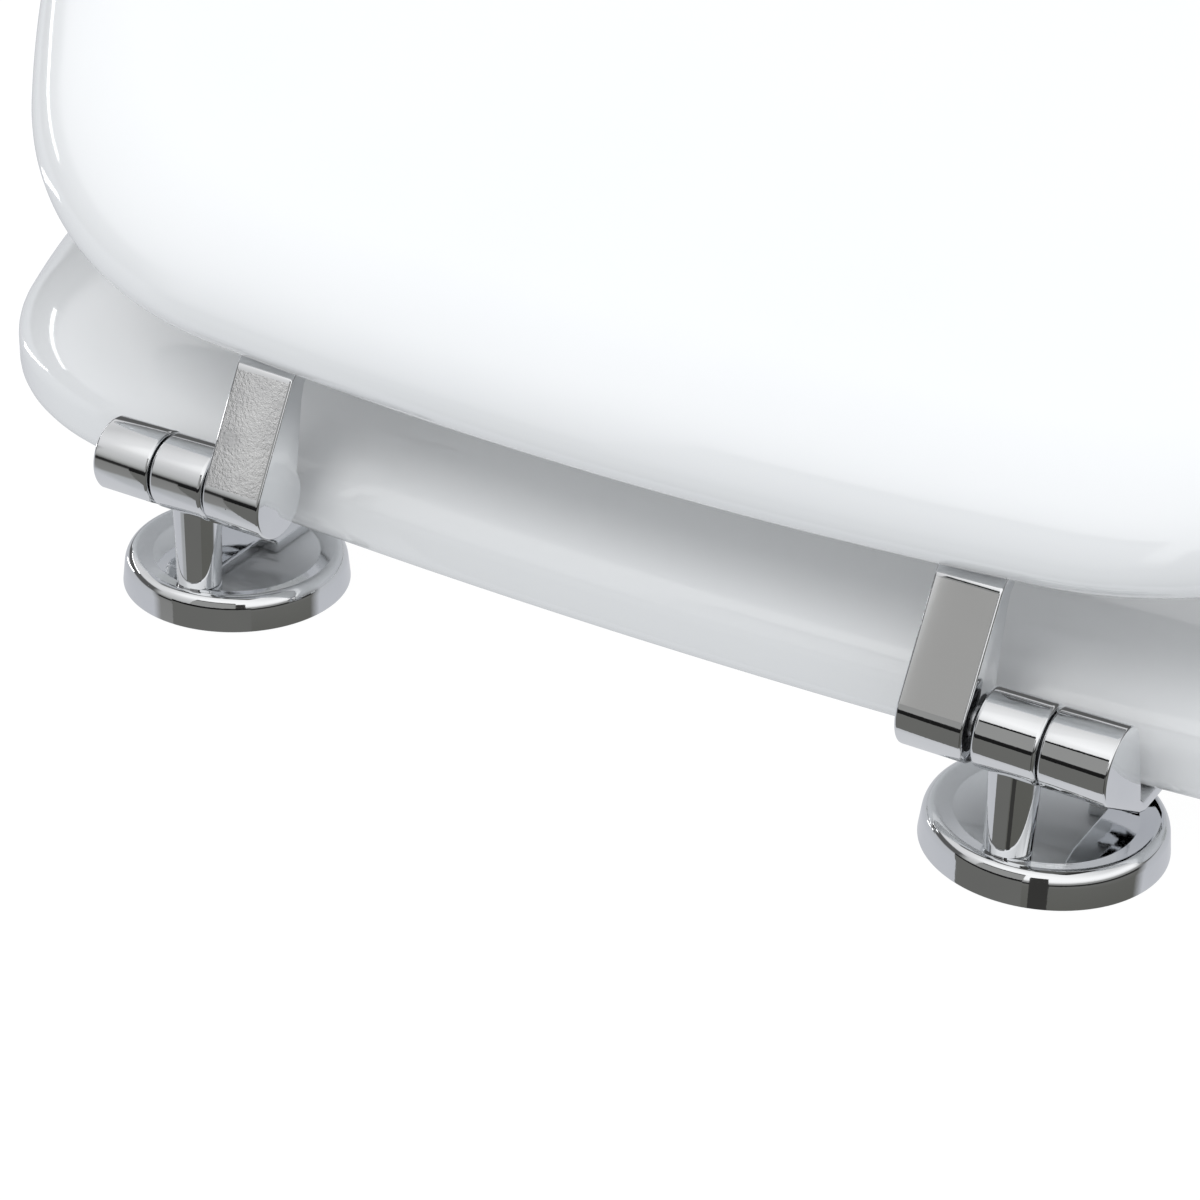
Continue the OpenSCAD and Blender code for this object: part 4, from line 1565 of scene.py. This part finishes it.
@dataclass(frozen=True)
class Lamp:
    """A straight bright strip beside the part, which shows as a highlight in its gloss alone.

    All lengths are in metres.
    """

    name: str
    start: tuple[float, float, float]
    end: tuple[float, float, float]
    width: float
    glow: float = 5.0

    def hang(self) -> None:
        """Hangs the lamp in the studio."""
        material = bpy.data.materials.new(self.name)
        material.use_nodes = True
        material.node_tree.nodes.clear()
        graph = Graph(material.node_tree)
        glow = graph.add("ShaderNodeEmission", {"Color": (1.0, 1.0, 1.0, 1.0), "Strength": self.glow})
        end = graph.add("ShaderNodeOutputMaterial")
        graph.tree.links.new(glow.outputs[0], end.inputs["Surface"])
        (x0, y0, z0), (x1, y1, z1) = self.start, self.end
        half = self.width / 2
        points = [(x0, y0, z0 - half), (x1, y1, z1 - half), (x1, y1, z1 + half), (x0, y0, z0 + half)]
        hang_unseen(self.name, points, material)


LAMPS = (
    Lamp("lamp_high", (-0.43, 0.17, 0.152), (-0.43, -0.03, 0.148), 0.014),
    Lamp("lamp_low", (-0.43, 0.12, -0.055), (-0.43, -0.02, 0.03), 0.018),
)
CARDS = (
    Card("card_grey", (-0.135, -0.300), (0.12, -0.300), 0.038, 0.305, (0.335, 0.335, 0.328), 0.03, 0.03),
    Card("card_low", (-0.165, -0.162), (0.10, -0.162), -0.19, 0.034, (0.160, 0.160, 0.152), 0.020, 0.010),
    Card("camera_stand", (0.187, -0.483), (0.308, -0.415), -0.60, 0.33, (0.045, 0.044, 0.042)),
)


@dataclass
class Studio:
    """White floor, soft light, reflection cards and the camera at the photograph's angle."""

    eye: tuple[float, float, float] = (0.2475, -0.4487, 0.3131)
    yaw: float = -0.5111
    pitch: float = 0.5205
    roll: float = 0.032
    lens: float = 106.416
    sensor: float = 36.0
    floor_half: float = 3.0
    floor_level: float = -0.0006
    tent_strength: float = 1.2

    def build(self) -> None:
        """Builds the studio."""
        self._camera()
        self._world()
        self._floor()
        for sheet in CARDS + LAMPS:
            sheet.hang()
        self._light("key", (-0.3, -1.5, 1.85), 0.9, 11.0)
        self._light("top", (0.1, 1.0, 2.2), 1.4, 22.7)
        bpy.context.scene.view_settings.view_transform = "Standard"

    def _camera(self) -> None:
        """Puts the camera where the photograph was taken from."""
        data = bpy.data.cameras.new("camera")
        data.lens, data.sensor_width = self.lens, self.sensor
        data.clip_start, data.clip_end = 0.01, 50.0
        camera = bpy.data.objects.new("camera", data)
        bpy.context.scene.collection.objects.link(camera)
        cp = math.cos(self.pitch)
        ahead = Vector((math.sin(self.yaw) * cp, math.cos(self.yaw) * cp, -math.sin(self.pitch)))
        level = Vector((math.cos(self.yaw), -math.sin(self.yaw), 0))
        above = level.cross(ahead)
        right = math.cos(self.roll) * level + math.sin(self.roll) * above
        up = -math.sin(self.roll) * level + math.cos(self.roll) * above
        turn = Matrix((right, up, -ahead)).transposed().to_4x4()
        camera.matrix_world = Matrix.Translation(self.eye) @ turn
        bpy.context.scene.camera = camera

    def _world(self) -> None:
        """White to the camera, even to matt surfaces, banded like a photographer's tent in metal."""
        world = bpy.data.worlds.new("studio")
        world.use_nodes = True
        world.node_tree.nodes.clear()
        bpy.context.scene.world = world
        graph = Graph(world.node_tree)
        tent = graph.add("ShaderNodeBackground", {"Color": self._tent(graph), "Strength": self.tent_strength})
        path = graph.add("ShaderNodeLightPath").outputs
        level = graph.add("ShaderNodeSeparateXYZ", {
            "Vector": graph.add("ShaderNodeTexCoord").outputs["Generated"],
        }).outputs["Z"]
        even = graph.add("ShaderNodeBackground", {"Color": self._ramp(graph, level, EVEN), "Strength": 1.0})
        white = graph.add("ShaderNodeBackground", {"Color": (1.0, 1.0, 1.0, 1.0), "Strength": 1.0})
        lit = graph.add("ShaderNodeMixShader", {
            0: path["Is Glossy Ray"], 1: even.outputs[0], 2: tent.outputs[0],
        })
        seen = graph.add("ShaderNodeMixShader", {
            0: path["Is Camera Ray"], 1: lit.outputs[0], 2: white.outputs[0],
        })
        end = graph.add("ShaderNodeOutputWorld")
        graph.tree.links.new(seen.outputs[0], end.inputs["Surface"])

    def _tent(self, graph: Graph) -> bpy.types.NodeSocket:
        """Colour of the tent round the part, by the height and the bearing of a direction.

        Args:
            graph: The world's graph.

        Returns:
            The colour's socket.
        """
        part = graph.add("ShaderNodeSeparateXYZ", {
            "Vector": graph.add("ShaderNodeTexCoord").outputs["Generated"],
        }).outputs
        bearing = graph.math("ARCTAN2", part["X"], part["Y"])
        left, middle, right = (self._ramp(graph, part["Z"], stops)
                               for stops in (BACK_LEFT, FRONT, BACK_RIGHT))
        to_front = graph.math(
            "MULTIPLY", self._step(graph, bearing, math.radians(-134), math.radians(-124)),
            self._step(graph, bearing, math.radians(68), math.radians(56)),
        )
        back = graph.add("ShaderNodeMix", {
            0: graph.math("GREATER_THAN", bearing, 0.0), 6: left, 7: right,
        }, data_type="RGBA")
        round_about = graph.add("ShaderNodeMix", {
            0: to_front, 6: back.outputs[2], 7: middle,
        }, data_type="RGBA")
        high = self._step(graph, part["Z"], 0.5, 0.75)
        ahead = self._step(graph, part["Y"], -0.55, 0.15)
        dimmed = graph.math("MULTIPLY", high, ahead)
        toned = graph.add("ShaderNodeMix", {
            0: graph.math("MULTIPLY", dimmed, 0.3), 6: round_about.outputs[2], 7: (0.0, 0.0, 0.0, 1.0),
        }, data_type="RGBA")
        return toned.outputs[2]

    @staticmethod
    def _step(
        graph: Graph, value: bpy.types.NodeSocket, start: float, end: float
    ) -> bpy.types.NodeSocket:
        """A share that grows from 0 where a value is start to 1 where it is end."""
        return graph.out(graph.add("ShaderNodeMapRange", {
            "Value": value, "From Min": start, "From Max": end, "To Min": 0.0, "To Max": 1.0,
        }))

    @staticmethod
    def _ramp(graph: Graph, level: bpy.types.NodeSocket, stops: Ramp) -> bpy.types.NodeSocket:
        """Colour by the height of a direction, from -1 straight down to 1 straight up."""
        ramp = graph.add("ShaderNodeValToRGB", {"Fac": graph.math("MULTIPLY_ADD", level, 0.5, 0.5)})
        elements = ramp.color_ramp.elements
        while len(elements) < len(stops):
            elements.new(0.5)
        for element, (height, colour) in zip(elements, stops):
            element.position = 0.5 * height + 0.5
            element.color = (*colour, 1.0)
        return ramp.outputs["Color"]

    def _floor(self) -> None:
        """A large white floor, which only the camera sees."""
        half, level = self.floor_half, self.floor_level
        mesh = bpy.data.meshes.new("floor")
        corners = [(-half, -half, level), (half, -half, level), (half, half, level), (-half, half, level)]
        mesh.from_pydata(corners, [], [(0, 1, 2, 3)])
        material = bpy.data.materials.new("floor_white")
        material.use_nodes = True
        material.node_tree.nodes.clear()
        graph = Graph(material.node_tree)
        paper = graph.add("ShaderNodeBsdfDiffuse", {"Color": (0.65, 0.65, 0.65, 1.0)})
        glow = graph.add("ShaderNodeEmission", {"Color": (1.0, 1.0, 1.0, 1.0), "Strength": 1.1})
        bright = graph.add("ShaderNodeMixShader", {0: 0.88, 1: paper.outputs[0], 2: glow.outputs[0]})
        path = graph.add("ShaderNodeLightPath").outputs
        shader = graph.add("ShaderNodeMixShader", {
            0: path["Is Camera Ray"], 1: paper.outputs[0], 2: bright.outputs[0],
        })
        end = graph.add("ShaderNodeOutputMaterial")
        graph.tree.links.new(shader.outputs[0], end.inputs["Surface"])
        mesh.materials.append(material)
        floor = bpy.data.objects.new("floor", mesh)
        bpy.context.scene.collection.objects.link(floor)
        floor.visible_glossy = False
        floor.visible_diffuse = False

    @staticmethod
    def _light(name: str, place: tuple[float, float, float], size: float, power: float) -> None:
        """Adds a square soft light that looks at the part.

        Args:
            name: The light's name.
            place: Where it hangs.
            size: The length of its sides, in metres.
            power: Its power, in watts.
        """
        data = bpy.data.lights.new(name, "AREA")
        data.shape, data.size, data.energy = "SQUARE", size, power
        light = bpy.data.objects.new(name, data)
        bpy.context.scene.collection.objects.link(light)
        light.location = place
        light.rotation_mode = "QUATERNION"
        light.rotation_quaternion = (Vector((0, 0.15, 0.03)) - Vector(place)).to_track_quat("-Z", "Y")
        light.visible_glossy = False


def corners(box: tuple[Vector, Vector]) -> list[list[float]]:
    """The two corners of a box as plain lists of numbers."""
    return [list(corner) for corner in box]


def main() -> None:
    """Builds the pieces in order."""
    logging.basicConfig(level=logging.INFO, format="%(name)s: %(message)s", stream=sys.stdout)
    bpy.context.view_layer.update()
    palette = Palette()
    palette.dress_nodes()
    rules = Rules()
    hinge = HingeSizes()
    RingAssembly(rules, palette, hinge).build()
    LidAssembly(rules, palette, hinge).build()
    for side in Side:
        HingeAssembly(side, rules, palette, hinge).build()
    seat_mid = sum(hinge.seat_x) / 2
    lid_mid = sum(hinge.lid_x) / 2
    ScrewSet("seat_arm_screws", Body.RING, rules, palette, hinge, 10.9, (-seat_mid, seat_mid)).build()
    ScrewSet("lid_arm_screws", Body.LID, rules, palette, hinge, 39.7,
             (-lid_mid, lid_mid - hinge.side_play)).build()
    Studio().build()
    log.info("studio and sizes done")


if __name__ == "__main__":
    main()
